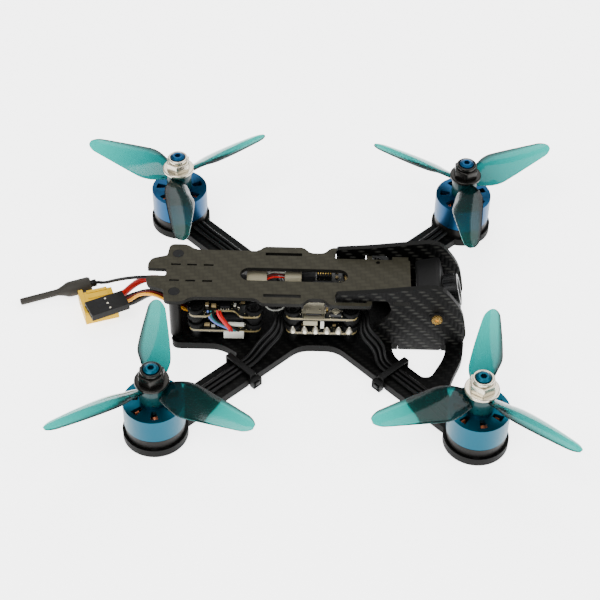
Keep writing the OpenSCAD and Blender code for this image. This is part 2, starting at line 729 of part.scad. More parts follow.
module motor_leads() {
    lie = plate_t + lead_d / 2 + 0.02;
    color([0.07, 0.07, 0.07]) for (c = corners, k = [-1, 0, 1]) {
        arm = [for (p = [[arm_reach - base_r - 0.1, 0.5], [arm_reach - base_r - 4, 0],
                [tie_at + 14, 0], [tie_at + 7, 0], [tie_at, 0], [tie_at - 5, 0.3]])
            on_arm(c, p[0], lead_pitch * k, lie + p[1])];
        stack = [for (p = lead_in) let (o = lead_pitch * k * c[0])
            [front_stack_x + c[0] * (p[0] + o * cos(p[3]) * cos(p[4])),
                c[1] * (p[1] - o * sin(p[3]) * cos(p[4])), p[2] + o * sin(p[4])]];
        swept(concat(arm, stack), lead_d, lead_d);
    }
}

module cable_ties() {
    w = arm_w + 0.3;
    h = plate_t + tie_in_h - tie_t - slip;
    color([0.06, 0.06, 0.06]) for (c = corners) rotate(atan2(c[1] * motor_y, c[0] * motor_x)) {
        side = c[0] * c[1];
        translate([tie_at - tie_w / 2, 0, slip]) difference() {
            translate([0, -w / 2 - tie_t, 0]) cube([tie_w, w + 2 * tie_t, h + 2 * tie_t]);
            translate([-1, -w / 2, tie_t]) cube([tie_w + 2, w, h]);
        }
        translate([tie_at - 1.9, side > 0 ? w / 2 + tie_t : -w / 2 - tie_t - 2.4, slip + 0.6])
            cube([3.8, 2.4, 3.6]);
    }
}

module antenna_coax() {
    color([0.08, 0.08, 0.08]) swept(coax_path, coax_d, coax_d);
}

module antenna_sleeve() {
    run_v = sleeve_to - sleeve_at;
    turn = atan2(run_v[1], run_v[0]);
    dip = atan2(norm([run_v[0], run_v[1]]), run_v[2]);
    color([0.25, 0.24, 0.23]) translate(sleeve_at) rotate([0, 0, turn]) rotate([0, dip, 0]) {
        cylinder(d = sleeve_d[0], h = sleeve_len[0]);
        translate([0, 0, sleeve_len[0]]) cylinder(d = sleeve_d[1], h = sleeve_len[1] - 2);
        translate([0, 0, sleeve_len[0] + sleeve_len[1] - 2]) cylinder(d1 = sleeve_d[1], d2 = sleeve_d[2], h = 2);
        cylinder(d = sleeve_d[2], h = norm(run_v));
    }
}

module battery_lead_red() {
    color([0.6, 0.1, 0.08]) swept(red_path, red_d, red_d);
}

module battery_lead_black() {
    color([0.08, 0.08, 0.08]) swept(black_path, black_d, black_d);
}

module battery_plug() {
    l = plug_size[0];
    w = plug_size[1] / 2;
    color([0.93, 0.74, 0.33]) translate([plug_at[0], plug_at[1], 0]) rotate(plug_turn) difference() {
        rotate([90, 0, 90]) translate([0, 0, -l / 2]) linear_extrude(l)
            polygon(soft([[-w, 0, 0.8], [w - 1.6, 0, 0.6], [w, 1.6, 0.6], [w, plug_size[2] - 1.6, 0.6],
                [w - 1.6, plug_size[2], 0.6], [-w, plug_size[2], 0.8]]));
        translate([-l / 2 - 1, 0, plug_size[2] / 2]) rotate([0, 90, 0])
            for (j = [-1, 1]) translate([0, j * 2.6, 0]) cylinder(d = 2.4, h = 9);
    }
}

module signal_lead() {
    color([0.75, 0.65, 0.2]) swept(signal_path, signal_d[0], signal_d[1]);
}

module signal_plug() {
    color([0.1, 0.1, 0.1]) translate([servo_at[0], servo_at[1], plug_size[2] + 0.1]) rotate(servo_turn)
        difference() {
            translate([-servo_size[0] / 2, -servo_size[1] / 2, 0]) cube(servo_size);
            for (j = [-1, 0, 1]) translate([-servo_size[0] / 2 - 1, j * 2.5 - 0.5, 0.7]) cube([7, 1, 1.1]);
        }
}

main_plate();
top_plate();
side_plate_right();
side_plate_left();
rear_standoffs();
plate_screws();
stack_screws();
stack_spacers();
stack_nuts();
esc_board();
fc_board();
usb_socket();
boot_button();
power_board();
video_board();
camera_case();
camera_lens();
camera_screws();
bearings();
motor_leads();
cable_ties();
antenna_coax();
antenna_sleeve();
battery_lead_red();
battery_lead_black();
battery_plug();
signal_lead();
signal_plug();
for (i = [0:3]) {
    motor_base(i);
    stator(i);
    windings(i);
    bell(i);
    magnets(i);
    spindle(i);
    propeller(i);
    prop_nut(i);
}
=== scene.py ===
# Looks of a small racing quadcopter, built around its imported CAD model.
# Sizes in the dictionaries are millimetres in the model's own frame.
import math

import bpy
from mathutils import Matrix, Vector


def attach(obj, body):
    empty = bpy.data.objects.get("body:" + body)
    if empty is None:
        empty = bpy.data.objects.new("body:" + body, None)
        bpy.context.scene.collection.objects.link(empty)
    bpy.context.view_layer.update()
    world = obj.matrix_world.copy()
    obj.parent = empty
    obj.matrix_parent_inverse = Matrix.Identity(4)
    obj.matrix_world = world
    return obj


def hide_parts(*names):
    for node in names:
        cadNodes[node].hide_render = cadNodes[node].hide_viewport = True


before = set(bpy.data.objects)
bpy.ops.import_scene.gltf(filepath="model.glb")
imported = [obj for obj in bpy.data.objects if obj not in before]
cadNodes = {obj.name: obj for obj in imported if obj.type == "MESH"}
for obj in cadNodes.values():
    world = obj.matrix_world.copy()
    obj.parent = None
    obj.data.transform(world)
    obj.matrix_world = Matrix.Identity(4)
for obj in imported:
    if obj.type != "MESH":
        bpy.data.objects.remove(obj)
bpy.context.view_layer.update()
mm = 0.001
cornerTags = {"rear_right": (-53, -53), "front_right": (53, -53),
              "rear_left": (-53, 53), "front_left": (53, 53)}
bpy.context.tool_settings.mesh_select_mode = (False, False, True)


# ---- camera

cameraView = {"place": (-0.650, -388.758, 395.326), "yaw": -0.01521, "pitch": 0.77966,
              "roll": 0.01438, "lens": 93.32}
bpy.ops.object.camera_add()
camera = bpy.context.object
camera.name = "viewCamera"
turn = (Matrix.Rotation(-cameraView["yaw"], 4, "Z")
        @ Matrix.Rotation(math.pi / 2 - cameraView["pitch"], 4, "X")
        @ Matrix.Rotation(cameraView["roll"], 4, "Z"))
camera.matrix_world = Matrix.Translation(Vector(cameraView["place"]) * mm) @ turn
camera.data.lens = cameraView["lens"]
camera.data.clip_start = 0.01
bpy.context.scene.camera = camera


# ---- helpers

def clearSelection():
    if bpy.context.object and bpy.context.object.mode != "OBJECT":
        bpy.ops.object.mode_set(mode="OBJECT")
    bpy.ops.object.select_all(action="DESELECT")


def pick(*chosen):
    clearSelection()
    for piece in chosen:
        piece.select_set(True)
    bpy.context.view_layer.objects.active = chosen[0]


def selectNothing(piece):
    pick(piece)
    for part in (piece.data.vertices, piece.data.edges):
        part.foreach_set("select", [False] * len(part))


def editFaces(piece, wanted=None):
    # go into edit mode with the wanted faces selected, or all of them
    selectNothing(piece)
    for face in piece.data.polygons:
        face.select = wanted is None or bool(wanted(face.center, face.normal))
    bpy.ops.object.mode_set(mode="EDIT")


def faceOutward():
    bpy.ops.mesh.normals_make_consistent(inside=False)


def leaveEdit():
    bpy.ops.object.mode_set(mode="OBJECT")


def sink(piece, wanted, rim, depth):
    # a recess in one face, with a rim left round it
    editFaces(piece, wanted)
    bpy.ops.mesh.inset(thickness=rim * mm)
    bpy.ops.transform.translate(value=Vector(depth) * mm)
    leaveEdit()


def settle(piece):
    # place, turn and size go into the mesh
    pick(piece)
    bpy.ops.object.transform_apply(location=True, rotation=True, scale=True)
    return piece


def shape(piece, kind, **settings):
    pick(piece)
    modifier = piece.modifiers.new(kind.title(), kind)
    for key, value in settings.items():
        setattr(modifier, key, value)
    bpy.ops.object.modifier_apply(modifier=modifier.name)
    return piece


def roundEdges(piece, width, segments=2, angle=35):
    return shape(piece, "BEVEL", width=width * mm, segments=segments, limit_method="ANGLE",
                 angle_limit=math.radians(angle))


def block(size, place, turn=0.0, edge=0.15, segments=2):
    clearSelection()
    bpy.ops.mesh.primitive_cube_add(size=1, location=Vector(place) * mm,
                                    rotation=(0, 0, math.radians(turn)))
    piece = bpy.context.object
    piece.scale = Vector(size) * mm
    settle(piece)
    return roundEdges(piece, edge, segments) if edge else piece


def drum(radius, height, place, sides=32, edge=0.15, lean=(0, 0, 0), segments=2):
    # a round post standing on its place
    clearSelection()
    bpy.ops.mesh.primitive_cylinder_add(vertices=sides, radius=radius * mm, depth=height * mm,
                                        location=(0, 0, height * mm / 2))
    piece = settle(bpy.context.object)
    if edge:
        roundEdges(piece, edge, segments)
    piece.rotation_euler = [math.radians(a) for a in lean]
    piece.location = Vector(place) * mm
    return settle(piece)


def sleeve(outer, inner, height, place, sides=32, edge=0.15, segments=2, lean=(0, 0, 0)):
    # a drum or prism with a hole right through
    piece = drum(outer, height, (0, 0, 0), sides, 0)
    editFaces(piece, lambda centre, normal: abs(normal.z) > 0.9)
    bpy.ops.mesh.inset(thickness=(outer - inner) * math.cos(math.pi / sides) * mm, use_individual=True)
    bpy.ops.mesh.bridge_edge_loops()
    bpy.ops.mesh.select_all(action="SELECT")
    faceOutward()
    leaveEdit()
    if edge:
        roundEdges(piece, edge, segments, angle=25)
    piece.rotation_euler = [math.radians(a) for a in lean]
    piece.location = Vector(place) * mm
    return settle(piece)


def copyOf(piece, place=(0, 0, 0), turn=0.0, size=(1, 1, 1)):
    twin = piece.copy()
    twin.data = piece.data.copy()
    bpy.context.scene.collection.objects.link(twin)
    twin.location = Vector(place) * mm
    twin.rotation_euler = (0, 0, math.radians(turn))
    twin.scale = size
    return settle(twin)


def paint(piece, look, face=None):
    # look is the name of a finish, or a material
    material = finish.get(look, look)
    if face is None:
        piece.data.materials.clear()
        piece.data.materials.append(material)
        return piece
    piece.data.materials.append(material)
    for part in piece.data.polygons:
        if face(part.center / mm, part.normal):
            part.material_index = len(piece.data.materials) - 1
    return piece


def joined(name, parts):
    pick(*parts)
    if len(parts) > 1:
        bpy.ops.object.join()
    piece = bpy.context.object
    piece.name = name
    piece.data.name = name
    return piece


def remove(piece):
    bpy.data.objects.remove(piece)


def finished(piece, name, body, replaced=(), smooth=35):
    # several pieces in a list become one
    if isinstance(piece, list):
        piece = joined(name, piece)
    piece.name = name
    if piece.type == "MESH":
        pick(piece)
        bpy.ops.object.shade_smooth_by_angle(angle=math.radians(smooth))
    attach(piece, body)
    if replaced:
        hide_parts(*replaced)
    return piece


def routeCurve(name, route, diameter, colour):
    line = bpy.data.curves.new(name, "CURVE")
    line.dimensions = "3D"
    line.resolution_u = 8
    line.bevel_depth = diameter / 2 * mm
    line.bevel_resolution = 4
    line.use_fill_caps = True
    spline = line.splines.new("BEZIER")
    spline.bezier_points.add(len(route) - 1)
    for point, place in zip(spline.bezier_points, route):
        point.co = Vector(place) * mm
        point.handle_left_type = point.handle_right_type = "AUTO"
    piece = bpy.data.objects.new(name, line)
    bpy.context.scene.collection.objects.link(piece)
    line.materials.append(finish[colour])
    return piece


def wire(route, diameter, colour):
    # a fixed wire, turned into a mesh
    piece = routeCurve("wire", route, diameter, colour)
    piece.data.bevel_resolution = 2
    piece.data.resolution_u = 5
    pick(piece)
    bpy.ops.object.convert(target="MESH")
    return bpy.context.object


# ---- materials

def linear(red, green, blue):
    return tuple((c / 255 / 12.92) if c < 11 else ((c / 255 + 0.055) / 1.055) ** 2.4
                 for c in (red, green, blue)) + (1.0,)


def addNode(tree, kind, inputs=None, **settings):
    made = tree.nodes.new(kind)
    for key, value in settings.items():
        setattr(made, key, value)
    for key, value in (inputs or {}).items():
        if isinstance(value, bpy.types.NodeSocket):
            tree.links.new(value, made.inputs[key])
        else:
            made.inputs[key].default_value = value
    return made


def math2(tree, operation, a, b=0.0):
    return addNode(tree, "ShaderNodeMath", {0: a, 1: b}, operation=operation).outputs[0]


def times(tree, a, b):
    return math2(tree, "MULTIPLY", a, b)


def mixColours(tree, factor, a, b):
    made = addNode(tree, "ShaderNodeMix", {0: factor, 6: a, 7: b}, data_type="RGBA")
    return made.outputs[2]


def newMaterial(name, sockets=None):
    material = bpy.data.materials.new(name)
    material.use_nodes = True
    shader = material.node_tree.nodes["Principled BSDF"]
    for key, value in (sockets or {}).items():
        shader.inputs[key].default_value = value
    return material, material.node_tree, shader


def objectPlace(tree):
    return addNode(tree, "ShaderNodeTexCoord").outputs["Object"]


def relief(tree, shader, height, depth, strength=1.0):
    made = addNode(tree, "ShaderNodeBump", {"Height": height, "Distance": depth * mm, "Strength": strength})
    tree.links.new(made.outputs[0], shader.inputs["Normal"])


def noise(tree, scale, detail=2.0, **settings):
    sockets = {"Vector": objectPlace(tree), "Scale": scale, "Detail": detail, **settings}
    return addNode(tree, "ShaderNodeTexNoise", sockets).outputs[0]


def mottle(tree, shader, fine, tint, shades, glosses):
    # colour and gloss follow the noise, each from its first value to its second
    darker, lighter = [tuple(min(1.0, c * shade) for c in linear(*tint)[:3]) + (1.0,) for shade in shades]
    tree.links.new(mixColours(tree, fine, darker, lighter), shader.inputs["Base Color"])
    gloss = addNode(tree, "ShaderNodeMapRange", {0: fine, 1: 0.3, 2: 0.7, 3: glosses[0], 4: glosses[1]})
    tree.links.new(gloss.outputs[0], shader.inputs["Roughness"])


def surface(name, tint, roughness=0.5, metallic=0.0, grain=1.0, change=0.25, depth=0.01, extra=None):
    # one finish with fine mottling in its colour, gloss and relief
    sockets = {"Metallic": metallic, "Specular IOR Level": 0.12, **(extra or {})}
    material, tree, shader = newMaterial(name, sockets)
    fine = noise(tree, 1 / (grain * mm), 4.0, Roughness=0.6)
    glosses = (roughness * 0.85, min(1.0, roughness * 1.15))
    mottle(tree, shader, fine, tint, (1 - change, 1 + change), glosses)
    relief(tree, shader, fine, depth)
    return material


def carbonTwill(name, axes, tow, dark, light, edge, roughness, depth, shine=0.2, shade=1.3):
    # two-by-two twill on the plate's faces with painted sheen and painted shade, layered plies on its cut
    # edges
    material, tree, shader = newMaterial(name, {"Specular IOR Level": shine, "IOR": 1.5})
    coords = addNode(tree, "ShaderNodeTexCoord")
    place = addNode(tree, "ShaderNodeSeparateXYZ", {0: coords.outputs["Object"]}).outputs
    facing = addNode(tree, "ShaderNodeSeparateXYZ", {0: coords.outputs["Normal"]}).outputs
    through = 3 - axes[0] - axes[1]  # the axis across the plate's thickness
    plyPitch = 0.25

    def halfWave(value, turns):
        return math2(tree, "SINE", times(tree, value, math.pi * turns))

    def crown(across, along):
        # a tow is highest along its middle, and dips where it goes under the next one
        return times(tree, across, math2(tree, "POWER", math2(tree, "ABSOLUTE", along), 0.5))

    u = times(tree, place[axes[0]], 1 / (tow * mm))
    v = times(tree, place[axes[1]], 1 / (tow * mm))
    warpPhase = math2(tree, "FLOORED_MODULO", math2(tree, "ADD", v, math2(tree, "FLOOR", u)), 4.0)
    weftPhase = math2(tree, "FLOORED_MODULO", math2(tree, "ADD", u, math2(tree, "FLOOR", v)), 4.0)
    isWarp = math2(tree, "LESS_THAN", warpPhase, 2.0)
    warpHeight = crown(halfWave(math2(tree, "FRACT", u), 1), halfWave(warpPhase, 0.5))
    weftHeight = crown(halfWave(math2(tree, "FRACT", v), 1), halfWave(weftPhase, 0.5))
    height = addNode(tree, "ShaderNodeMix", {0: isWarp, 2: weftHeight, 3: warpHeight}).outputs[0]
    fine = noise(tree, 900.0, 3.0)
    # the warp tows take the dark tint and the weft tows the light one: the twill is real, but its contrast
    # is painted sheen
    tows = mixColours(tree, isWarp, linear(*light), linear(*dark))
    # painted shade: each tow is darkened where it dips under the next one
    shaded = times(tree, math2(tree, "SUBTRACT", 1.0, height), shade)
    tows = mixColours(tree, shaded, tows, linear(*[c * 0.5 for c in dark]))
    tows = mixColours(tree, times(tree, fine, 0.35), tows, linear(*dark))
    flat = math2(tree, "GREATER_THAN", math2(tree, "ABSOLUTE", facing[through]), 0.7)
    # plies show on the cut edge as thin lines across the plate's thickness
    ply = halfWave(place[through], 2 / (plyPitch * mm))
    cut = mixColours(tree, math2(tree, "MULTIPLY_ADD", ply, 0.2), linear(*edge), linear(4, 4, 4))
    cut = mixColours(tree, times(tree, fine, 0.5), cut, linear(*[c * 0.7 for c in edge]))
    tree.links.new(mixColours(tree, flat, cut, tows), shader.inputs["Base Color"])
    gloss = addNode(tree, "ShaderNodeMix", {0: flat, 2: 0.62, 3: roughness}).outputs[0]
    tree.links.new(gloss, shader.inputs["Roughness"])
    relief(tree, shader, times(tree, height, flat), depth, 0.8)
    return material


def turnedMetal(name, tint, roughness, pitch=0.18, depth=0.006):
    # anodised or plated metal with fine turning lines around an upright axis
    material, tree, shader = newMaterial(name, {"Metallic": 0.85, "Specular IOR Level": 0.4})
    level = addNode(tree, "ShaderNodeSeparateXYZ", {0: objectPlace(tree)}).outputs[2]
    lines = math2(tree, "SINE", times(tree, level, 2 * math.pi / (pitch * mm)))
    fine = noise(tree, 2500.0, 3.0)
    mottle(tree, shader, fine, tint, (0.8, 1.15), (roughness * 0.8, roughness * 1.2))
    relief(tree, shader, math2(tree, "MULTIPLY_ADD", lines, 0.25), depth)
    return material


def boardLaminate(name, bottom, top):
    # black solder mask with faint copper under it, tan edges, black parts above
    material, tree, shader = newMaterial(name, {"Specular IOR Level": 0.3})
    coords = addNode(tree, "ShaderNodeTexCoord")
    level = addNode(tree, "ShaderNodeSeparateXYZ", {0: coords.outputs["Object"]}).outputs[2]
    upright = math2(tree, "ABSOLUTE", addNode(tree, "ShaderNodeSeparateXYZ",
                                              {0: coords.outputs["Normal"]}).outputs[2])
    cells = addNode(tree, "ShaderNodeTexVoronoi", {"Vector": coords.outputs["Object"], "Scale": 1100.0},
                    distance="CHEBYCHEV")
    pads = math2(tree, "LESS_THAN", cells.outputs["Distance"], 0.16)
    traces = math2(tree, "GREATER_THAN", noise(tree, 420.0), 0.55)
    mask = mixColours(tree, times(tree, traces, 0.5), linear(9, 10, 9), linear(20, 22, 19))
    mask = mixColours(tree, pads, mask, linear(136, 128, 98))
    inside = times(tree, math2(tree, "LESS_THAN", level, (top - 0.2) * mm),
                   math2(tree, "GREATER_THAN", level, (bottom + 0.3) * mm))
    isEdge = times(tree, math2(tree, "LESS_THAN", upright, 0.5), inside)
    isPart = math2(tree, "GREATER_THAN", level, (top + 0.02) * mm)
    grit = noise(tree, 3000.0)
    edge = mixColours(tree, grit, linear(92, 82, 52), linear(136, 122, 84))
    tint = mixColours(tree, isEdge, mask, edge)
    tint = mixColours(tree, isPart, tint, mixColours(tree, grit, linear(10, 10, 11), linear(24, 24, 26)))
    tree.links.new(tint, shader.inputs["Base Color"])
    tree.links.new(addNode(tree, "ShaderNodeMix", {0: isPart, 2: 0.35, 3: 0.55}).outputs[0],
                   shader.inputs["Roughness"])
    relief(tree, shader, math2(tree, "ADD", traces, grit), 0.02)
    return material


def tintedBlade(name):
    # clear plastic, deeper at the root, with a painted shade line along the leading edge
    material, tree, shader = newMaterial(name, {"Transmission Weight": 0.92, "IOR": 1.3, "Roughness": 0.1,
                                                "Specular IOR Level": 0.4})
    span = addNode(tree, "ShaderNodeAttribute", attribute_name="span").outputs["Fac"]
    rim = addNode(tree, "ShaderNodeAttribute", attribute_name="rim").outputs["Fac"]
    ramp = addNode(tree, "ShaderNodeValToRGB", {0: span})
    stops = ramp.color_ramp.elements
    stops[0].position, stops[0].color = 0.12, linear(2, 46, 48)
    stops[1].position, stops[1].color = 1.0, linear(12, 132, 122)
    middle = stops.new(0.42)
    middle.color = linear(2, 94, 90)
    cloud = noise(tree, 90.0)
    tint = mixColours(tree, times(tree, cloud, 0.3), ramp.outputs[0], linear(4, 92, 92))
    # painted shade: the rim attribute darkens a thin line along the leading edge
    tint = mixColours(tree, rim, tint, linear(1, 8, 10))
    tree.links.new(tint, shader.inputs["Base Color"])
    relief(tree, shader, noise(tree, 260.0), 0.02, 0.5)
    return material


surfaces = {  # name, colour, roughness, metallic, grain, change, depth, extra
    "blackMetal": ("blackAnodised", (22, 21, 20), 0.42, 0.5, 0.5, 0.3),
    "screw": ("blackScrew", (14, 14, 14), 0.4, 0.5, 0.4, 0.3),
    "nylon": ("blackNylon", (10, 10, 10), 0.5, 0.0, 0.6, 0.35),
    "rubber": ("blackRubber", (8, 8, 8), 0.75, 0.0, 0.3, 0.3, 0.02),
    "wireBlack": ("blackWire", (9, 9, 9), 0.38, 0.0, 0.8, 0.3, 0.008),
    "shell": ("socketMetal", (168, 162, 142), 0.36, 0.75, 0.5, 0.15, 0.004),
    "solder": ("solder", (188, 182, 166), 0.3, 0.9, 0.4, 0.12, 0.01),
    "gold": ("goldPlate", (218, 180, 92), 0.3, 0.8, 0.4, 0.12, 0.004),
    "tan": ("tanCeramic", (150, 132, 94), 0.5, 0.0, 0.3),
    "beige": ("beigeNylon", (134, 128, 108), 0.55, 0.0, 0.5, 0.1),
    "white": ("whiteNylon", (186, 186, 176), 0.5, 0.0, 0.5, 0.06),
    "grey": ("greyWire", (150, 150, 144), 0.45, 0.0, 0.6, 0.1),
    # the black epoxy finish also gives painted shade in the socket mouth, its dimples and the plug windows
    "epoxyAndShade": ("blackEpoxyAndShade", (17, 17, 19), 0.5, 0.0, 0.2, 0.25),
    "green": ("greenPart", (14, 92, 70), 0.35, 0.0, 0.4),
    "case": ("cameraPlastic", (13, 13, 13), 0.55, 0.0, 0.25, 0.3, 0.015),
    "lens": ("lensBarrel", (10, 10, 11), 0.36, 0.2, 0.3, 0.3, 0.006),
    "brass": ("brassScrew", (206, 168, 96), 0.26, 0.9, 0.3, 0.2, 0.006),
    "steel": ("bearingSteel", (150, 150, 152), 0.24, 1.0, 0.4, 0.12, 0.004),
    "lamination": ("laminationSteel", (66, 66, 70), 0.45, 0.9, 0.3),
    "magnet": ("magnet", (120, 120, 124), 0.3, 1.0, 0.4, 0.12, 0.004),
    "copper": ("copperWire", (214, 130, 92), 0.3, 0.9, 0.25, 0.25, 0.01, {"Coat Weight": 0.3}),
    "hub": ("propellerHub", (6, 46, 48), 0.3, 0.0, 1.2, 0.35, 0.01, {"Coat Weight": 0.2}),
    "red": ("redLead", (150, 12, 10), 0.38, 0.0, 1.0, 0.2, 0.01),
    "darkRed": ("darkRedTube", (84, 14, 11), 0.45, 0.0, 0.8, 0.25),
    "yellow": ("yellowLead", (222, 152, 34), 0.42, 0.0, 0.8, 0.12),
    "pink": ("pinkWire", (196, 46, 52), 0.42),
    "blue": ("paleBlueWire", (92, 108, 168), 0.42),
    "teal": ("tealWire", (38, 96, 98), 0.42),
    "amber": ("plugAmber", (198, 156, 12), 0.45, 0.0, 0.6, 0.12, 0.01),
    "plugBlack": ("plugBlack", (15, 15, 14), 0.5, 0.0, 0.4, 0.25, 0.01),
    "coax": ("coaxJacket", (14, 14, 15), 0.42, 0.0, 0.6, 0.2),
    "sleeve": ("sleeveRubber", (44, 42, 38), 0.55, 0.0, 0.6, 0.2, 0.012),
}
finish = {key: surface(*settings) for key, settings in surfaces.items()}
finish.update({
    # each twill's second and third colours are its warp and weft tints, which differ only by painted sheen
    "plate": carbonTwill("carbonPlate", (0, 1), 1.25, (2, 2, 2), (16, 16, 15), (11, 11, 9),
                         0.5, 0.05, 0.08),
    "deck": carbonTwill("carbonDeck", (0, 1), 1.6, (42, 40, 31), (47, 45, 36), (18, 17, 13),
                        0.65, 0.02, 0.12, 0.3),
    "side": carbonTwill("carbonSide", (0, 2), 1.45, (1, 1, 1), (46, 46, 43), (12, 12, 10),
                        0.5, 0.1, 0.1, 1.6),
    # the far bells get a bluer copy of the near bells' finish: painted light, as all four bells are alike
    "bellNear": turnedMetal("bellBlue", (2, 66, 84), 0.4),
    "bellFarPaintedLight": turnedMetal("bellBlueFarPaintedLight", (4, 60, 96), 0.4),
    "nutSilver": turnedMetal("nutSilver", (192, 184, 166), 0.22, 0.4),
    "nutBlack": turnedMetal("nutBlack", (34, 33, 31), 0.3, 0.4),
    "blade": tintedBlade("propellerTeal"),
})
boards = {"esc_board": (7.2, 8.4), "fc_board": (14.0, 15.2), "power_board": (7.2, 8.4),
          "video_board": (14.0, 15.2)}
cadFinish = {"main_plate": "plate", "top_plate": "deck",
             "side_plate_right": "side", "side_plate_left": "side",
             "rear_standoffs": "blackMetal", "plate_screws": "screw", "stack_screws": "screw",
             "stack_spacers": "nylon", "stack_nuts": "nylon", "boot_button": "shell",
             "camera_case": "case", "camera_screws": "brass", "bearings": "steel",
             "battery_plug": "amber", "signal_plug": "plugBlack"}
for cornerTag in cornerTags:
    # the left bells take the far copy of the bell finish, whose tint is painted light
    bell = "bellFarPaintedLight" if cornerTag.endswith("left") else "bellNear"
    cadFinish.update({"motor_base_" + cornerTag: "blackMetal", "stator_" + cornerTag: "lamination",
                      "bell_" + cornerTag: bell, "magnets_" + cornerTag: "magnet",
                      "spindle_" + cornerTag: "steel"})
for nodeName, finishName in cadFinish.items():
    for materialSlot in cadNodes[nodeName].material_slots:
        materialSlot.material = finish[finishName]
for nodeName, (low, high) in boards.items():
    cadNodes[nodeName].material_slots[0].material = boardLaminate(nodeName + "Laminate", low, high)
print("camera and finishes ready")


# ---- cords behind the tail

cords = {
    "coax": {"diameter": 1.2, "route": [
        (-43, 0.5, 16.6), (-46, 0.5, 17.6), (-50, 0.6, 18.6), (-54, 1, 19), (-58, 1.8, 18.6),
        (-62, 3.2, 17.2), (-66, 5, 15), (-70, 7.2, 12.1), (-73.6, 9.4, 9), (-76.4, 11.2, 6.4),
        (-78.6, 12.6, 4.8)]},
    "red": {"diameter": 2.4, "route": [
        (-41.5, 4.6, 10.1), (-45, 4.6, 10.6), (-49, 4.7, 12.4), (-53, 5, 14), (-57, 5.6, 14.4),
        (-61, 6.6, 13), (-64.6, 7.6, 10.2), (-67.4, 8.2, 7), (-69.6, 8.4, 4.4), (-72.1, 8.2, 2.8)]},
    "black": {"diameter": 2.4, "route": [
        (-41.5, 1.2, 10.1), (-45, 1.2, 10.3), (-49, 1.3, 11.2), (-53, 1.6, 11.8), (-57, 2.2, 11.2),
        (-60.6, 3, 9), (-63.6, 3.8, 6.2), (-66.6, 4.2, 3.8), (-70.4, 3.6, 2.8)]},
    "signal": {"diameter": 3.4, "wire": 1.1, "route": [
        (-41.5, -4.2, 9.4), (-45, -4.2, 9.8), (-49, -3.8, 11.6), (-53, -3, 13.4), (-57, -1.2, 13.8),
        (-60.2, 0.6, 12.4), (-62.8, 2.3, 10.2), (-65, 3.1, 8.3), (-66.5, 3.05, 7.4), (-68.15, 2.22, 7)]},
}
antennaTail = {"start": (-80.4, 13.4, 4.1), "end": (-107, 5, 1.45), "ferrule": (1.3, 2.0),
               "thick": (2.8, 13.0), "thin": 1.25,
               "inlet": [(-78.3, 12.42, 5.0), (-79.5, 13.15, 4.4), (-81.2, 13.15, 4.03)]}


def antennaPieces():
    start, end = Vector(antennaTail["start"]), Vector(antennaTail["end"])
    along = end - start
    aim = along.to_track_quat("Z", "Y").to_euler()
    thick, shoulder = antennaTail["thick"]
    thin = antennaTail["thin"]
    # one profile spun round the antenna's own line
    profile = [(0, 2.0), (thick * 0.8, 2.0), (thick, 2.8), (thick, shoulder - 3.2),
               (thick * 0.93, shoulder - 2.2), (thick * 0.72, shoulder - 1),
               (thin * 1.25, shoulder + 0.3), (thin, shoulder + 1.4),
               (thin, along.length - 0.5), (thin * 0.8, along.length - 0.1), (0, along.length)]
    clearSelection()
    bpy.ops.mesh.primitive_circle_add(vertices=len(profile), radius=mm, fill_type="NOTHING")
    piece = bpy.context.object
    for vertex, (away, level) in zip(piece.data.vertices, profile):
        vertex.co = Vector((away, 0, level)) * mm
    # the edge that closes the circle is the axis, and is dropped
    last = len(profile) - 1
    closing = [e.index for e in piece.data.edges if set(e.vertices) == {0, last}]
    selectNothing(piece)
    piece.data.edges[closing[0]].select = True
    bpy.context.tool_settings.mesh_select_mode = (False, True, False)
    bpy.ops.object.mode_set(mode="EDIT")
    bpy.ops.mesh.delete(type="EDGE_FACE")
    bpy.ops.mesh.select_all(action="SELECT")
    bpy.ops.mesh.spin(steps=32, angle=2 * math.pi, center=(0, 0, 0), axis=(0, 0, 1))
    bpy.ops.mesh.select_all(action="SELECT")
    bpy.ops.mesh.remove_doubles(threshold=0.00001)
    faceOutward()
    leaveEdit()
    bpy.context.tool_settings.mesh_select_mode = (False, False, True)
    piece.rotation_euler = aim
    piece.location = start * mm
    settle(piece)
    paint(piece, "sleeve")
    ferruleRadius, ferruleLength = antennaTail["ferrule"]
    ring = drum(ferruleRadius, ferruleLength + 0.2, (0, 0, 0), 24, 0.2)
    band = sleeve(ferruleRadius, ferruleRadius - 0.4, 0.7, (0, 0, 0.5), 24, 0.1)
    ferrule = joined("ferrule", [ring, band])
    ferrule.rotation_euler = aim
    ferrule.location = start * mm
    settle(ferrule)
    paint(ferrule, "wireBlack")
    # the coax's own end bends into the ferrule
    inlet = wire(antennaTail["inlet"], cords["coax"]["diameter"] + 0.04, "coax")
    return finished([piece, ferrule, inlet], "antennaSleeve", "root", ["antenna_sleeve"])


def signalRibbon():
    # three wires side by side along one route
    cord = cords["signal"]
    route = [Vector(p) for p in cord["route"]]
    wires = []
    for lane, colour in ((-1, "yellow"), (0, "darkRed"), (1, "wireBlack")):
        side = []
        for i, point in enumerate(route):
            ahead = (route[min(i + 1, len(route) - 1)] - route[max(i - 1, 0)]).normalized()
            across = Vector((0, 0, 1)).cross(ahead).normalized()
            side.append(point - across * lane * (cord["diameter"] - cord["wire"]) / 2)
        wires.append(wire(side, cord["wire"], colour))
    return joined("signalRibbon", wires)


def cordPiece(key, name, nodeName, colour):
    line = routeCurve(name, cords[key]["route"], cords[key]["diameter"], colour)
    return finished(line, name, "root", [nodeName])


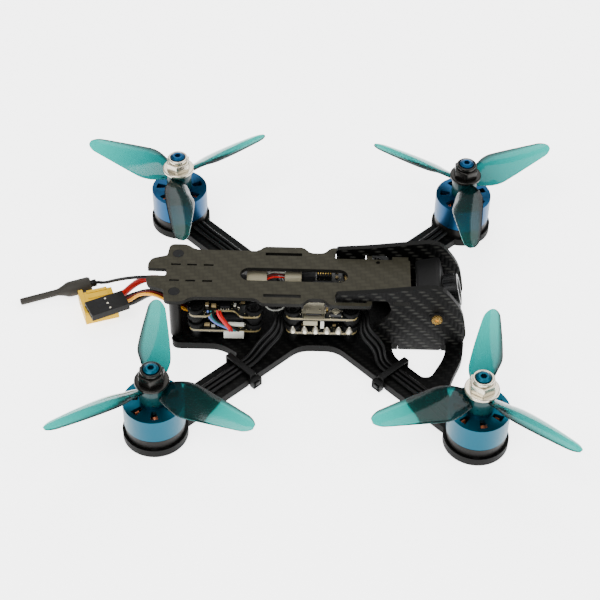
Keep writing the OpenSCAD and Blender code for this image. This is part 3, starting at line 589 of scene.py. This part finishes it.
coaxPiece = cordPiece("coax", "antennaCoax", "antenna_coax", "coax")
redPiece = cordPiece("red", "batteryLeadRed", "battery_lead_red", "red")
blackPiece = cordPiece("black", "batteryLeadBlack", "battery_lead_black", "wireBlack")
signalPiece = finished(signalRibbon(), "signalRibbon", "root", ["signal_lead"])
antennaPiece = antennaPieces()
print("cords laid")


# ---- propellers

propellerShape = {"diameter": 76.2, "chord": 12.3, "hubWidth": 9.2, "hubHeight": 7.6, "seat": 17.2,
                  "thickness": 1.5, "bore": 5.06,
                  "firstBlade": {"rear_right": 92.6, "front_right": 81.1,
                                 "rear_left": -84.1, "front_left": -88.9}}


def bladeChord(f):
    if f < 0.36:
        return propellerShape["chord"] * (0.46 + 0.54 * math.sin((f - 0.09) / 0.27 * math.pi / 2))
    taper = 1 - 0.56 * ((f - 0.36) / 0.6) ** 1.15
    return propellerShape["chord"] * taper * math.sqrt(max(0.01, 1 - (max(0, f - 0.9) / 0.103) ** 2))


def bladePitch(f):
    return math.radians(33 + 16 * (f - 0.1) if f < 0.25 else 35.4 - 19 * math.sqrt((f - 0.25) / 0.75))


def makeBlade(sense):
    # a grid bent to the blade's twisted, cambered face, then given its thickness
    spanSteps, chordSteps = 34, 12
    clearSelection()
    bpy.ops.mesh.primitive_grid_add(x_subdivisions=spanSteps, y_subdivisions=chordSteps, size=2)
    piece = bpy.context.object
    mesh = piece.data
    reach, hub = propellerShape["diameter"] / 2, propellerShape["hubHeight"]
    places, spans, edgeShadeWeights, weights = [], [], [], []
    for vertex in mesh.vertices:
        t, s = (vertex.co.x + 1) / 2, vertex.co.y / 2
        f = 0.1 + 0.897 * (1 - (1 - t) ** 1.5)
        a = s * bladeChord(f)
        b = 0.06 * bladeChord(f) * (1 - 4 * s * s)
        g = bladePitch(f)
        rise = 0.62 * hub + 0.3 * hub * math.sqrt(max(0, f - 0.09))
        places += [f * reach * mm, -sense * (a * math.cos(g) + b * math.sin(g)) * mm,
                   (rise - a * math.sin(g) + b * math.cos(g)) * mm]
        spans.append(f)
        # painted shade: a thin strip along the leading edge is marked for darkening
        edgeShadeWeights.append(max(0.0, min(1.0, (-s - 0.36) / 0.08)))
        weights.append(min(1.0, (1.04 - 0.72 * f) * math.sqrt(max(0.16, 1 - 4 * s * s))))
    mesh.vertices.foreach_set("co", places)
    mesh.update()
    group = piece.vertex_groups.new(name="thickness")
    for i, weight in enumerate(weights):
        group.add([i], weight, "REPLACE")
    for name, values in (("span", spans), ("rim", edgeShadeWeights)):
        mesh.attributes.new(name, "FLOAT", "POINT")
        mesh.attributes[name].data.foreach_set("value", values)
    shape(piece, "SOLIDIFY", thickness=propellerShape["thickness"] * mm, offset=0, vertex_group="thickness")
    shape(piece, "SUBSURF", levels=1, render_levels=1)
    editFaces(piece)
    faceOutward()
    leaveEdit()
    return paint(piece, "blade")


for sense, tags in ((1, ("rear_right", "front_left")), (-1, ("front_right", "rear_left"))):
    bladeModel = makeBlade(sense)
    for tag in tags:
        x, y = cornerTags[tag]
        first = propellerShape["firstBlade"][tag]
        seat = propellerShape["seat"]
        blades = [copyOf(bladeModel, (x, y, seat), first + step) for step in (0, 120, 240)]
        finished(blades, "blades_" + tag, "rotor_" + tag,
                 ["propeller_" + tag], smooth=60)
        hub = sleeve(propellerShape["hubWidth"] / 2, propellerShape["bore"] / 2,
                     propellerShape["hubHeight"], (x, y, seat), 48, 0.5, 3)
        finished(paint(hub, "hub"), "propHub_" + tag, "rotor_" + tag)
    remove(bladeModel)
print("propellers made")


# ---- propeller nuts and windings

nutShape = {"low": 24.8, "flange": (5.75, 1.2), "flats": 8.0, "hexHeight": 3.55, "collar": (3.6, 1.35),
            "bore": 2.55}


def makeNut():
    low, bore = nutShape["low"], nutShape["bore"]
    flangeRadius, flangeHeight = nutShape["flange"]
    flange = sleeve(flangeRadius, bore, flangeHeight, (0, 0, low), 48, 0.4, 3)
    hexagon = sleeve(nutShape["flats"] / math.sqrt(3), bore, nutShape["hexHeight"],
                     (0, 0, low + flangeHeight - 0.15), 6, 0.35, 3)
    collarRadius, collarHeight = nutShape["collar"]
    collar = sleeve(collarRadius, bore + 0.1, collarHeight, (0, 0, low + flangeHeight + 3.5), 48, 0.4, 3)
    return joined("nutModel", [flange, hexagon, collar])


coilShape = {"teeth": 9, "inner": 5.15, "turns": 4, "step": 0.38, "wire": 0.24, "halfWidth": 1.45,
             "low": 7.2, "high": 13.7}


def makeCoils():
    # each loop is a ring stretched round its tooth
    middle = (coilShape["low"] + coilShape["high"]) / 2
    tall = (coilShape["high"] - coilShape["low"]) / 2 - coilShape["wire"]
    loops = []
    for turnNumber in range(coilShape["turns"]):
        clearSelection()
        bpy.ops.mesh.primitive_torus_add(major_segments=20, minor_segments=6, major_radius=mm,
                                         minor_radius=coilShape["wire"] * mm)
        loop = bpy.context.object
        wide = coilShape["halfWidth"] + turnNumber * 0.12 - coilShape["wire"] * 0.5
        for vertex in loop.data.vertices:
            # square the ring off: its middle line grows, its wire keeps its thickness
            place = Vector((vertex.co.x, vertex.co.y, 0))
            core = place.normalized() * mm
            offset = vertex.co - core
            bulge = max(abs(core.x), abs(core.y)) / mm
            core = Vector((core.x * wide, core.y * tall, 0)) / bulge ** 0.7
            vertex.co = core + offset
        loop.rotation_euler = (math.pi / 2, 0, math.pi / 2)
        out = coilShape["inner"] + coilShape["wire"] + turnNumber * coilShape["step"]
        loop.location = Vector((out, 0, middle)) * mm
        loops.append(settle(loop))
    tooth = joined("toothCoil", loops)
    coils = [copyOf(tooth, (0, 0, 0), 360 / coilShape["teeth"] * i) for i in range(coilShape["teeth"])]
    remove(tooth)
    return paint(joined("coils", coils), "copper")


nutModel, coilModel = makeNut(), makeCoils()
for tag, (x, y) in cornerTags.items():
    silver = x * y < 0
    nut = paint(copyOf(nutModel, (x, y, 0)), "nutSilver" if silver else "nutBlack")
    finished(nut, "propNut_" + tag, "rotor_" + tag,
             ["prop_nut_" + tag])
    finished(copyOf(coilModel, (x, y, 0)), "coils_" + tag, "root", ["windings_" + tag],
             smooth=60)
remove(nutModel)
remove(coilModel)
print("motors dressed")


# ---- motor leads and cable ties

leadShape = {"diameter": 1.4, "pitch": 1.8, "reach": 74.95, "base": 9.9, "tie": 37, "plateTop": 3,
             "stack": 1.2,
             # from the middle of the stack: ahead, aside, level, then how the row turns and tilts
             "inward": ((19.6, 18, 6.8, 30, 20), (15.2, 13.4, 10.2, 20, 45), (14.6, 8.6, 12.1, 39, 40),
                        (12.2, 4.6, 11.4, 60, 20), (9.6, 3.4, 9.6, 63, 0))}
tieShape = {"width": 2.4, "thick": 0.75, "across": 11.3, "low": 0.15, "high": 5.5, "head": (3.8, 2.35, 3.6)}


def onArm(cornerX, cornerY, distance, aside, level):
    side = 1 if cornerX * cornerY > 0 else -1
    along = Vector((cornerX, cornerY, 0)).normalized()
    across = Vector((1, -side, 0)).normalized()
    return along * distance + across * aside + Vector((0, 0, level))


def makeLeads():
    # three leads in from each motor along its arm, then up and in between the boards
    lie = leadShape["plateTop"] + leadShape["diameter"] / 2 + 0.02
    reach, tie = leadShape["reach"] - leadShape["base"], leadShape["tie"]
    wires = []
    for cornerX in (-1, 1):
        for cornerY in (-1, 1):
            for k in (-1, 0, 1):
                lane = leadShape["pitch"] * k
                route = [onArm(cornerX, cornerY, distance, lane, lie + rise) for distance, rise in (
                    (reach - 0.1, 0.5), (reach - 4, 0), (tie + 14, 0), (tie + 7, 0), (tie, 0),
                    (tie - 5, 0.3))]
                for ahead, aside, level, turned, tilted in leadShape["inward"]:
                    turned, tilted = math.radians(turned), math.radians(tilted)
                    offset = lane * cornerX
                    ahead += offset * math.cos(turned) * math.cos(tilted)
                    aside -= offset * math.sin(turned) * math.cos(tilted)
                    route.append(Vector((leadShape["stack"] + cornerX * ahead, cornerY * aside,
                                         level + offset * math.sin(tilted))))
                wires.append(wire(route, leadShape["diameter"], "wireBlack"))
    return joined("motorLeads", wires)


def makeTie():
    # a flat band round arm and leads, with a ribbed head at its side
    width, high, low = tieShape["width"], tieShape["high"], tieShape["low"]
    wide = tieShape["across"] + 0.3 + 2 * tieShape["thick"]
    band = block((width, wide, high - low), (0, 0, (high + low) / 2), 0, 0)
    editFaces(band, lambda centre, normal: abs(normal.x) > 0.9)
    bpy.ops.mesh.inset(thickness=tieShape["thick"] * mm, use_individual=True)
    bpy.ops.mesh.bridge_edge_loops()
    leaveEdit()
    roundEdges(band, 0.3, 3)
    length, depth, height = tieShape["head"]
    head = block((length, depth, height), (0, -wide / 2 - depth / 2 + 0.03, low + 0.5 + height / 2), 0, 0)
    sink(head, lambda centre, normal: normal.y < -0.9, 0.7, (0, 0.9, 0))
    roundEdges(head, 0.3, 3)
    stub = block((1.9, 0.8, 1.5), (0, -wide / 2 - depth + 0.5, low + 0.5 + height / 2), 0, 0.15)
    return paint(joined("tieModel", [band, head, stub]), "nylon")


finished(makeLeads(), "motorLeads", "root", ["motor_leads"], smooth=60)
tieModel = makeTie()
ties = []
for tag, (x, y) in cornerTags.items():
    angle = math.degrees(math.atan2(y, x))
    tie = copyOf(tieModel, (0, 0, 0))
    if x * y > 0:
        tie.scale = (1, -1, 1)
        settle(tie)
        editFaces(tie)
        faceOutward()
        leaveEdit()
    tie.rotation_euler = (0, 0, math.radians(angle))
    along = Vector((x, y, 0)).normalized() * leadShape["tie"]
    tie.location = along * mm
    ties.append(settle(tie))
remove(tieModel)
finished(ties, "cableTies", "root", ["cable_ties"])
print("leads and ties made")


# ---- electronics

stackHoles = [(x, y) for centre in (1.2, -32.3) for x in (centre - 10, centre + 10) for y in (-10, 10)]
grommetShape = {"outer": 3.0, "inner": 2.35, "levels": ((15.22, 1.5), (12.0, 1.98), (8.42, 1.7))}
grommets = [sleeve(grommetShape["outer"], grommetShape["inner"], tall, (x, y, low), 28, 0.4, 3)
            for x, y in stackHoles for low, tall in grommetShape["levels"]]
finished(paint(joined("grommets", grommets), "rubber"), "grommets", "root")


def chipPart(size, place, body, ends="solder"):
    # a small ceramic part with a plated cap at each end
    piece = paint(block(size, place, 0, min(size) * 0.12, 1), body)
    along = 0 if size[0] >= size[1] else 1
    middle, half = Vector(place)[along], size[along] / 2
    return paint(piece, ends, lambda centre, normal: abs(centre[along] - middle) > half * 0.55)


def icPart(size, place, legs=5):
    # a moulded body with legs along two sides
    parts = [paint(block(size, place, 0, 0.12, 1), "epoxyAndShade")]
    x, y, z = place
    for i in range(legs):
        along = x - size[0] / 2 + size[0] * (i + 0.5) / legs
        for side in (-1, 1):
            foot = (along, y + side * (size[1] / 2 + 0.2), z - size[2] / 2 + 0.17)
            parts.append(paint(block((0.28, 0.7, 0.35), foot, 0, 0.05, 1), "solder"))
    return joined("ic", parts)


def headerPart(size, place, colour, cavity=False, pins=0):
    # a connector body, some open at the top with a row of pins
    body = block(size, place, 0, 0)
    if cavity:
        sink(body, lambda centre, normal: normal.z > 0.9, 0.45, (0, 0, -size[2] * 0.6))
    roundEdges(body, 0.1, 2)
    parts = [paint(body, colour)]
    x, y, z = place
    for i in range(pins):
        along = x - size[0] / 2 + size[0] * (i + 0.5) / pins
        pin = block((0.3, 0.5, size[2] * 0.75), (along, y, z), 0, 0.05, 1)
        parts.append(paint(pin, "gold"))
    return joined("header", parts)


smallParts = [  # size, place, body, and what plates the ends
    ((1.2, 1.9, 0.9), (-38.6, -8.2, 15.65), "tan"), ((1.7, 1.3, 1.0), (-36.2, -8.6, 15.7), "tan", "gold"),
    ((0.8, 1.6, 0.7), (-28.9, -8.0, 15.55), "white"), ((0.8, 1.6, 0.7), (-27.6, -8.6, 15.55), "epoxyAndShade"),
    ((1.6, 0.8, 0.6), (-26.2, -6.6, 15.5), "tan"), ((1.6, 0.8, 0.6), (-25.6, -4.8, 15.5), "epoxyAndShade"),
    ((0.8, 1.5, 0.6), (-39.4, -5.2, 15.5), "epoxyAndShade"), ((1.5, 0.8, 0.6), (-38.5, 7.5, 15.5), "tan"),
    ((2.2, 1.5, 0.9), (-29.0, 8.2, 15.65), "epoxyAndShade"), ((1.4, 0.8, 0.6), (4.7, -6.4, 15.5), "white"),
    ((1.4, 0.8, 0.6), (5.0, -8.3, 15.5), "white"), ((0.8, 1.4, 0.6), (8.2, -7.9, 15.5), "tan"),
    ((1.3, 0.8, 0.6), (6.4, -5.4, 15.5), "white"), ((0.8, 1.4, 0.6), (9.6, -11.2, 15.5), "tan"),
    ((1.5, 0.8, 0.6), (-7.4, -6.8, 15.5), "tan"), ((0.8, 1.5, 0.6), (-6.4, -10.9, 15.5), "epoxyAndShade"),
    ((1.5, 0.8, 0.6), (-7.8, -4.2, 15.5), "tan"), ((0.9, 1.5, 0.7), (2.9, -8.8, 15.55), "tan", "gold"),
    ((2.0, 1.2, 0.8), (-38.6, -11.0, 8.8), "tan"), ((1.4, 0.8, 0.7), (-36.4, -11.6, 8.75), "white"),
    ((1.3, 0.8, 0.7), (-27.0, -11.4, 8.75), "tan"), ((0.9, 1.6, 0.8), (-25.4, -10.0, 8.8), "epoxyAndShade"),
    ((1.3, 1.9, 0.8), (-39.2, 9.2, 8.8), "tan"), ((2.0, 1.2, 0.8), (-27.2, 10.4, 8.8), "epoxyAndShade"),
    ((1.2, 0.7, 0.6), (-6.0, -9.9, 8.7), "tan"), ((1.2, 0.7, 0.6), (-2.2, -9.6, 8.7), "tan"),
    ((1.2, 0.7, 0.6), (5.6, -9.8, 8.7), "tan"), ((1.2, 0.7, 0.6), (9.6, -9.9, 8.7), "tan"),
    ((1.6, 1.0, 0.9), (-0.2, 10.2, 8.85), "tan"), ((1.6, 1.0, 0.9), (4.8, 10.2, 8.85), "tan"),
    ((1.1, 1.3, 0.5), (-5.2, 11.0, 15.45), "gold"), ((1.1, 1.3, 0.5), (-3.4, 11.0, 15.45), "gold"),
    ((1.1, 1.3, 0.5), (-1.4, 11.0, 15.45), "gold"), ((1.1, 0.7, 0.6), (6.2, 9.9, 15.5), "tan"),
    ((1.1, 0.7, 0.6), (6.2, 7.4, 15.5), "tan"), ((1.9, 1.9, 0.8), (10.0, 7.0, 15.6), "tan", "gold"),
]
partPieces = [chipPart(*entry) for entry in smallParts]
partPieces += [
    icPart((3.4, 2.4, 1.1), (-32.3, -8.4, 15.75), 4), icPart((4.2, 2.6, 1.1), (-32.6, -9.4, 9.0), 5),
    icPart((2.6, 2.0, 1.0), (10.3, -7.9, 15.7), 3), icPart((3.2, 2.2, 0.9), (-3.4, -6.6, 15.65), 4),
    chipPart((3.0, 2.2, 1.2), (12.1, -5.6, 17.6), "green", "gold")]
finished(partPieces, "boardParts", "root")

headers = [
    headerPart((7.0, 5.6, 2.6), (-21.8, 4.4, 17.4), "beige"),
    headerPart((5.8, 4.4, 3.2), (-9.1, 5.2, 17.3), "beige"),
    headerPart((4.6, 2.6, 0.6), (-14.4, 6.6, 18.9), "white"),
    headerPart((5.2, 3.2, 1.6), (1.8, 8.0, 16.0), "epoxyAndShade", True, 6),
    headerPart((7.0, 3.0, 3.0), (-29.2, -12.2, 6.4), "white"),
    headerPart((6.4, 1.2, 1.0), (-28.8, -12.0, 10.2), "white"),
    headerPart((4.9, 2.4, 2.2), (-2.7, -12.0, 12.8), "beige", True),
    headerPart((1.3, 1.4, 3.6), (1.4, -11.8, 11.4), "white")]
finished(headers, "boardHeaders", "root")


def makeBlob():
    # a cone of solder drawn up round its wire
    clearSelection()
    bpy.ops.mesh.primitive_uv_sphere_add(segments=20, ring_count=12, radius=mm)
    blob = bpy.context.object
    for vertex in blob.data.vertices:
        level = vertex.co.z / mm
        draw = 1.0 if level < 0 else 1 - 0.42 * level
        vertex.co = Vector((vertex.co.x * 1.2 * draw, vertex.co.y * 1.3 * draw,
                            vertex.co.z * (1.0 if level < 0 else 1.9)))
    return paint(blob, "solder")


blobModel = makeBlob()
blobs = [copyOf(blobModel, (x, side * 12.75, 8.7), 17 * i, (1.0, 1.0, 1.1 + 0.08 * (i % 3)))
         for side in (-1, 1) for i, x in enumerate((-8.8, -4.7, -0.9, 3.1, 7.1, 10.8))]
blobs += [copyOf(blobModel, (-40.6, y, 8.5), 0, (0.9, 0.9, 0.6)) for y in (4.6, 1.2, -4.2)]
remove(blobModel)
finished(blobs, "solderBlobs", "root", smooth=60)

wireRuns = [  # thickness, finish, places
    (0.85, "pink", [(-34.9, -10.8, 15.4), (-34.4, -12.4, 14.9), (-32.6, -13.2, 12.2),
     (-30.8, -13.3, 9.2), (-30.6, -13.0, 7.4)]),
    (0.85, "red", [(-34.0, -10.8, 15.4), (-33.4, -12.3, 14.6), (-31.6, -13.0, 11.8),
     (-29.9, -13.2, 8.8), (-29.8, -13.0, 7.4)]),
    (0.75, "blue", [(-38.2, -10.8, 15.4), (-37.8, -12.2, 14.2), (-35.4, -12.8, 11.4),
     (-31.4, -13.1, 9.2), (-29.1, -13.0, 7.4)]),
    (0.75, "teal", [(-37.2, -10.8, 15.4), (-36.8, -12.2, 13.6), (-34.2, -12.6, 11.0),
     (-30.0, -13.0, 9.0), (-28.2, -13.0, 7.4)]),
    (0.75, "wireBlack", [(-36.3, -10.8, 15.4), (-35.8, -12.2, 13.2), (-32.8, -12.5, 10.8),
     (-28.8, -13.0, 9.2), (-27.2, -13.0, 7.4)]),
    (0.55, "grey", [(-18.6, -6.0, 15.8), (-16.8, -6.8, 15.0), (-14.2, -6.4, 14.8), (-11.2, -5.4, 15.6)]),
    (0.55, "grey", [(-18.6, -7.6, 15.4), (-16.6, -8.4, 14.2), (-13.6, -8.2, 14.0), (-10.8, -7.0, 15.5)]),
    (0.65, "red", [(-18.8, 3.2, 17.2), (-16.6, 3.4, 18.4), (-14.2, 3.5, 18.5), (-12.0, 4.6, 17.2)]),
    (0.65, "darkRed", [(-18.8, 4.2, 17.2), (-16.6, 4.8, 18.2), (-14.2, 5.2, 18.2), (-12.0, 5.6, 17.2)]),
    (1.0, "white", [(-18.8, 6.0, 17.0), (-16.6, 6.8, 17.8), (-14.2, 7.0, 17.8), (-12.0, 6.8, 17.2)]),
    (0.7, "wireBlack", [(-18.8, 5.2, 17.0), (-16.6, 5.9, 17.4), (-14.2, 6.1, 17.4), (-12.0, 6.0, 17.2)]),
    (1.0, "wireBlack", [(12.6, -4.0, 15.9), (16.4, -4.4, 16.2), (20.6, -3.2, 15.4), (26, -1.4, 14.6),
     (33.6, 0, 13.2)]),
    (0.9, "yellow", [(12.6, -2.8, 15.9), (16.4, -3.0, 16.6), (20.6, -2.2, 16.0), (26, -0.6, 15.2),
     (33.6, 0.9, 13.6)]),
    (0.9, "red", [(12.6, -1.6, 15.9), (16.4, -1.8, 16.4), (20.6, -1.0, 15.8), (26, 0.4, 15.0),
     (33.6, 1.8, 13.4)]),
]
boardWires = [wire(places, thickness, colour) for thickness, colour, places in wireRuns]
finished(boardWires, "boardWires", "root", smooth=60)

usbShape = {"place": (-1.6, -10.8, 16.55), "size": (7.5, 5.6, 2.7), "wall": 0.38, "depth": 3.8}


def makeUsb():
    # folded shell with an open mouth, a dark tongue and two latch dimples; its inner walls and the dimples'
    # hollows are painted black as painted shade
    (x, y, z), size, wall = usbShape["place"], usbShape["size"], usbShape["wall"]
    shell = block(size, (x, y, z), 0, 0)
    sink(shell, lambda centre, normal: normal.y < -0.9, wall, (0, usbShape["depth"], 0))
    roundEdges(shell, 0.25, 3)

    def inMouth(centre, normal):
        # the back of the mouth, then its four walls, which are painted black as painted shade
        aside, upward = abs(centre.x - x) - size[0] / 2, abs(centre.z - z) - size[2] / 2
        isBack = aside < -0.3 and upward < -0.3 and centre.y > y - size[1] / 2 + 0.3
        isShadedWall = min(abs(aside + wall), abs(upward + wall)) < 0.05 and centre.y < y + 1.2
        return isBack or isShadedWall

    paint(shell, "shell")
    # painted shade: the mouth's metal walls take the black finish, with the back of the mouth
    parts = [paint(shell, "epoxyAndShade", inMouth)]
    tongue = block((5.2, 3.2, 0.6), (x, y - 0.5, z + 0.25), 0, 0.12)
    parts.append(paint(tongue, "epoxyAndShade"))
    for side in (-1, 1):
        pit = sleeve(0.55, 0.26, 0.12, (x + side * 2.1, y - 0.6, z + size[2] / 2 - 0.06), 16, 0.03, 1)
        parts.append(paint(pit, "shell"))
        # painted shade: a black disc in each dimple's hollow
        hole = drum(0.34, 0.1, (x + side * 2.1, y - 0.6, z + size[2] / 2 - 0.07), 16, 0.02)
        parts.append(paint(hole, "epoxyAndShade"))
        lug = block((0.6, 1.4, 0.9), (x + side * (size[0] / 2 + 0.2), y + 0.6, 15.6), 0, 0.12)
        parts.append(paint(lug, "shell"))
    return joined("usbSocket", parts)


finished(makeUsb(), "usbSocket", "root", ["usb_socket"])

# pressed cover round the boot button, with a tab along each side
bootShape = {"place": (6, -11), "cover": (1.75, 1.0, 0.35), "coverLow": 16.62,
             "tab": (4.4, 0.7, 0.5), "tabOut": 1.1, "tabLevel": 15.6}
bootX, bootY = bootShape["place"]
cover = sleeve(*bootShape["cover"], (bootX, bootY, bootShape["coverLow"]), 4, 0.08, 2)
tabs = [paint(block(bootShape["tab"], (bootX, bootY + side * bootShape["tabOut"], bootShape["tabLevel"]),
                    0, 0.1), "shell") for side in (-1, 1)]
finished([paint(cover, "shell")] + tabs, "bootCover", "root")
print("electronics dressed")


# ---- camera: focus ring, glass and pivot washers

lensShape = {"pivot": (40.7, 0, 16), "pitch": 15, "radius": 6.0, "ring": (3.6, 7.4), "grips": 32,
             "tip": 8.6, "bore": 3.9, "throat": (4.1, 3.0), "core": 5.2, "glass": 8.0, "glassRim": 1.75,
             "washer": (2.6, 1.15, 0.45), "washerY": 12.3}


def aimed(piece):
    # from upright to along the lens's own line
    tilt = (Matrix.Translation(Vector(lensShape["pivot"]) * mm)
            @ Matrix.Rotation(math.pi / 2 - math.radians(lensShape["pitch"]), 4, "Y"))
    piece.matrix_world = tilt
    return settle(piece)


def isRib(centre, normal):
    # every other face round the focus ring
    if abs(normal.z) >= 0.3 or centre.xy.length <= (lensShape["radius"] - 0.6) * mm:
        return False
    return int((math.atan2(centre.y, centre.x) / math.pi + 1) * lensShape["grips"]) % 2 == 0


(low, high), radius, tip = lensShape["ring"], lensShape["radius"], lensShape["tip"]
barrel = sleeve(radius - 0.35, lensShape["bore"], tip - low - 0.4, (0, 0, low + 0.2), 64, 0.25, 3)
gripRing = sleeve(radius - 0.32, radius - 0.9, high - low, (0, 0, low), 64, 0)
editFaces(gripRing, isRib)
bpy.ops.mesh.extrude_region_shrink_fatten(TRANSFORM_OT_shrink_fatten={"value": 0.25 * mm})
leaveEdit()
roundEdges(gripRing, 0.05, 1)
throat = sleeve(*lensShape["throat"], 1.0, (0, 0, tip - 1.5), 48, 0.3, 3)
core = drum(lensShape["core"], low + 2.6, (0, 0, -1.4), 48, 0.2)
aimed(paint(joined("lensBarrel", [barrel, gripRing, throat, core]), "lens"))
finished(bpy.context.object, "lensBarrel", "camera", ["camera_lens"])

glassMaterial, glassTree, glassShader = newMaterial("lensGlass", {
    "Roughness": 0.04, "IOR": 1.6, "Coat Weight": 1.0, "Coat Roughness": 0.02})
coating = mixColours(glassTree, noise(glassTree, 300.0), linear(14, 12, 30), linear(42, 30, 66))
glassTree.links.new(coating, glassShader.inputs["Base Color"])
clearSelection()
bpy.ops.mesh.primitive_uv_sphere_add(segments=40, ring_count=24, radius=lensShape["glass"] * mm,
                                     location=(0, 0, (tip - 0.55 - lensShape["glass"]) * mm))
glass = settle(bpy.context.object)
editFaces(glass)
bpy.ops.mesh.bisect(plane_co=(0, 0, (tip - lensShape["glassRim"]) * mm), plane_no=(0, 0, 1),
                    clear_inner=True, use_fill=True)
leaveEdit()
aimed(paint(glass, glassMaterial))
finished(glass, "lensGlass", "camera", smooth=50)

pivotX, pivotZ = lensShape["pivot"][::2]
washers = [sleeve(*lensShape["washer"], (pivotX, side * lensShape["washerY"], pivotZ), 32, 0.12, 2,
                  (-90 * side, 0, 0)) for side in (-1, 1)]
finished(paint(joined("pivotWashers", washers), "rubber"), "pivotWashers", "root")
print("camera dressed")


# ---- plugs on the cords

servoShape = {"place": (-74.6, -1.2), "turn": 28, "lanes": (-2.5, 0, 2.5)}
batteryShape = {"place": (-78.6, 3.4), "turn": 20, "middle": 2.8, "ribs": (-4.4, -1.5, 1.5, 4.4),
                "lips": (0.55, 5.65)}


def inPlug(shapeOf, offset, level):
    angle = math.radians(shapeOf["turn"])
    x, y = shapeOf["place"]
    return (x + offset[0] * math.cos(angle) - offset[1] * math.sin(angle),
            y + offset[0] * math.sin(angle) + offset[1] * math.cos(angle), level)


def plugBlock(shapeOf, size, offset, level, edge, colour, segments=2):
    # a block laid along its plug
    return paint(block(size, inPlug(shapeOf, offset, level), shapeOf["turn"], edge, segments), colour)


contacts = []
for lane in servoShape["lanes"]:
    # painted shade: each window is a dark sheet laid over the opening where the contact shows
    window = plugBlock(servoShape, (4.4, 1.3, 0.12), (-1.4, lane), 8.16, 0.05, "epoxyAndShade", 1)
    spring = paint(drum(0.42, 0.22, inPlug(servoShape, (0.2, lane), 8.06), 16, 0.1), "solder")
    tube = plugBlock(servoShape, (6.2, 0.8, 0.8), (-3.6, lane), 6.95, 0.1, "shell")
    contacts += [window, spring, tube]
finished(contacts, "signalContacts", "root")

sockets = []
for side in (-1, 1):
    tubeLean = (90, 0, batteryShape["turn"] + 90)
    tubePlace = inPlug(batteryShape, (-6.0, side * 2.6), batteryShape["middle"])
    sockets.append(paint(sleeve(1.15, 0.75, 5.0, tubePlace, 24, 0.1, 2, tubeLean), "gold"))
# raised ribs along the housing and a rim round its mouth
for across in batteryShape["ribs"]:
    sockets.append(plugBlock(batteryShape, (7.4, 1.3, 0.45), (0.6, across), 5.75, 0.15, "amber"))
for level in batteryShape["lips"]:
    sockets.append(plugBlock(batteryShape, (1.6, 12.2, 0.7), (-5.1, 0), level, 0.2, "amber"))
finished(sockets, "batterySockets", "root")
print("plugs dressed")


# ---- floor and light

stageLook = {"size": 8, "level": -0.0003, "floorGlow": 3.2, "worldLight": 0.5}
bpy.ops.mesh.primitive_plane_add(size=stageLook["size"], location=(0, 0, stageLook["level"]))
floor = bpy.context.object
floor.name = "studioFloor"
floorMaterial = newMaterial("studioFloor", {
    "Base Color": (0.9, 0.9, 0.9, 1), "Roughness": 0.9, "Emission Color": (1, 1, 1, 1),
    "Emission Strength": stageLook["floorGlow"]})[0]
paint(floor, floorMaterial)

lights = [  # name, place, size, power
    ("keyLight", (-0.5, -0.7, 1.3), 1.0, 30), ("fillLight", (0.9, -0.3, 1.0), 1.0, 12),
    ("backLight", (0.1, 1.0, 1.1), 1.2, 16)]
for name, place, size, power in lights:
    bpy.ops.object.light_add(type="AREA", location=place)
    lamp = bpy.context.object
    lamp.name = name
    lamp.data.size = size
    lamp.data.energy = power
    lamp.rotation_euler = (-Vector(place)).to_track_quat("-Z", "Y").to_euler()
world = bpy.data.worlds.new("studioWorld")
bpy.context.scene.world = world
world.use_nodes = True
sky = world.node_tree.nodes["Background"]
sky.inputs[0].default_value = (1, 1, 1, 1)
sky.inputs[1].default_value = stageLook["worldLight"]
print("floor and light ready")
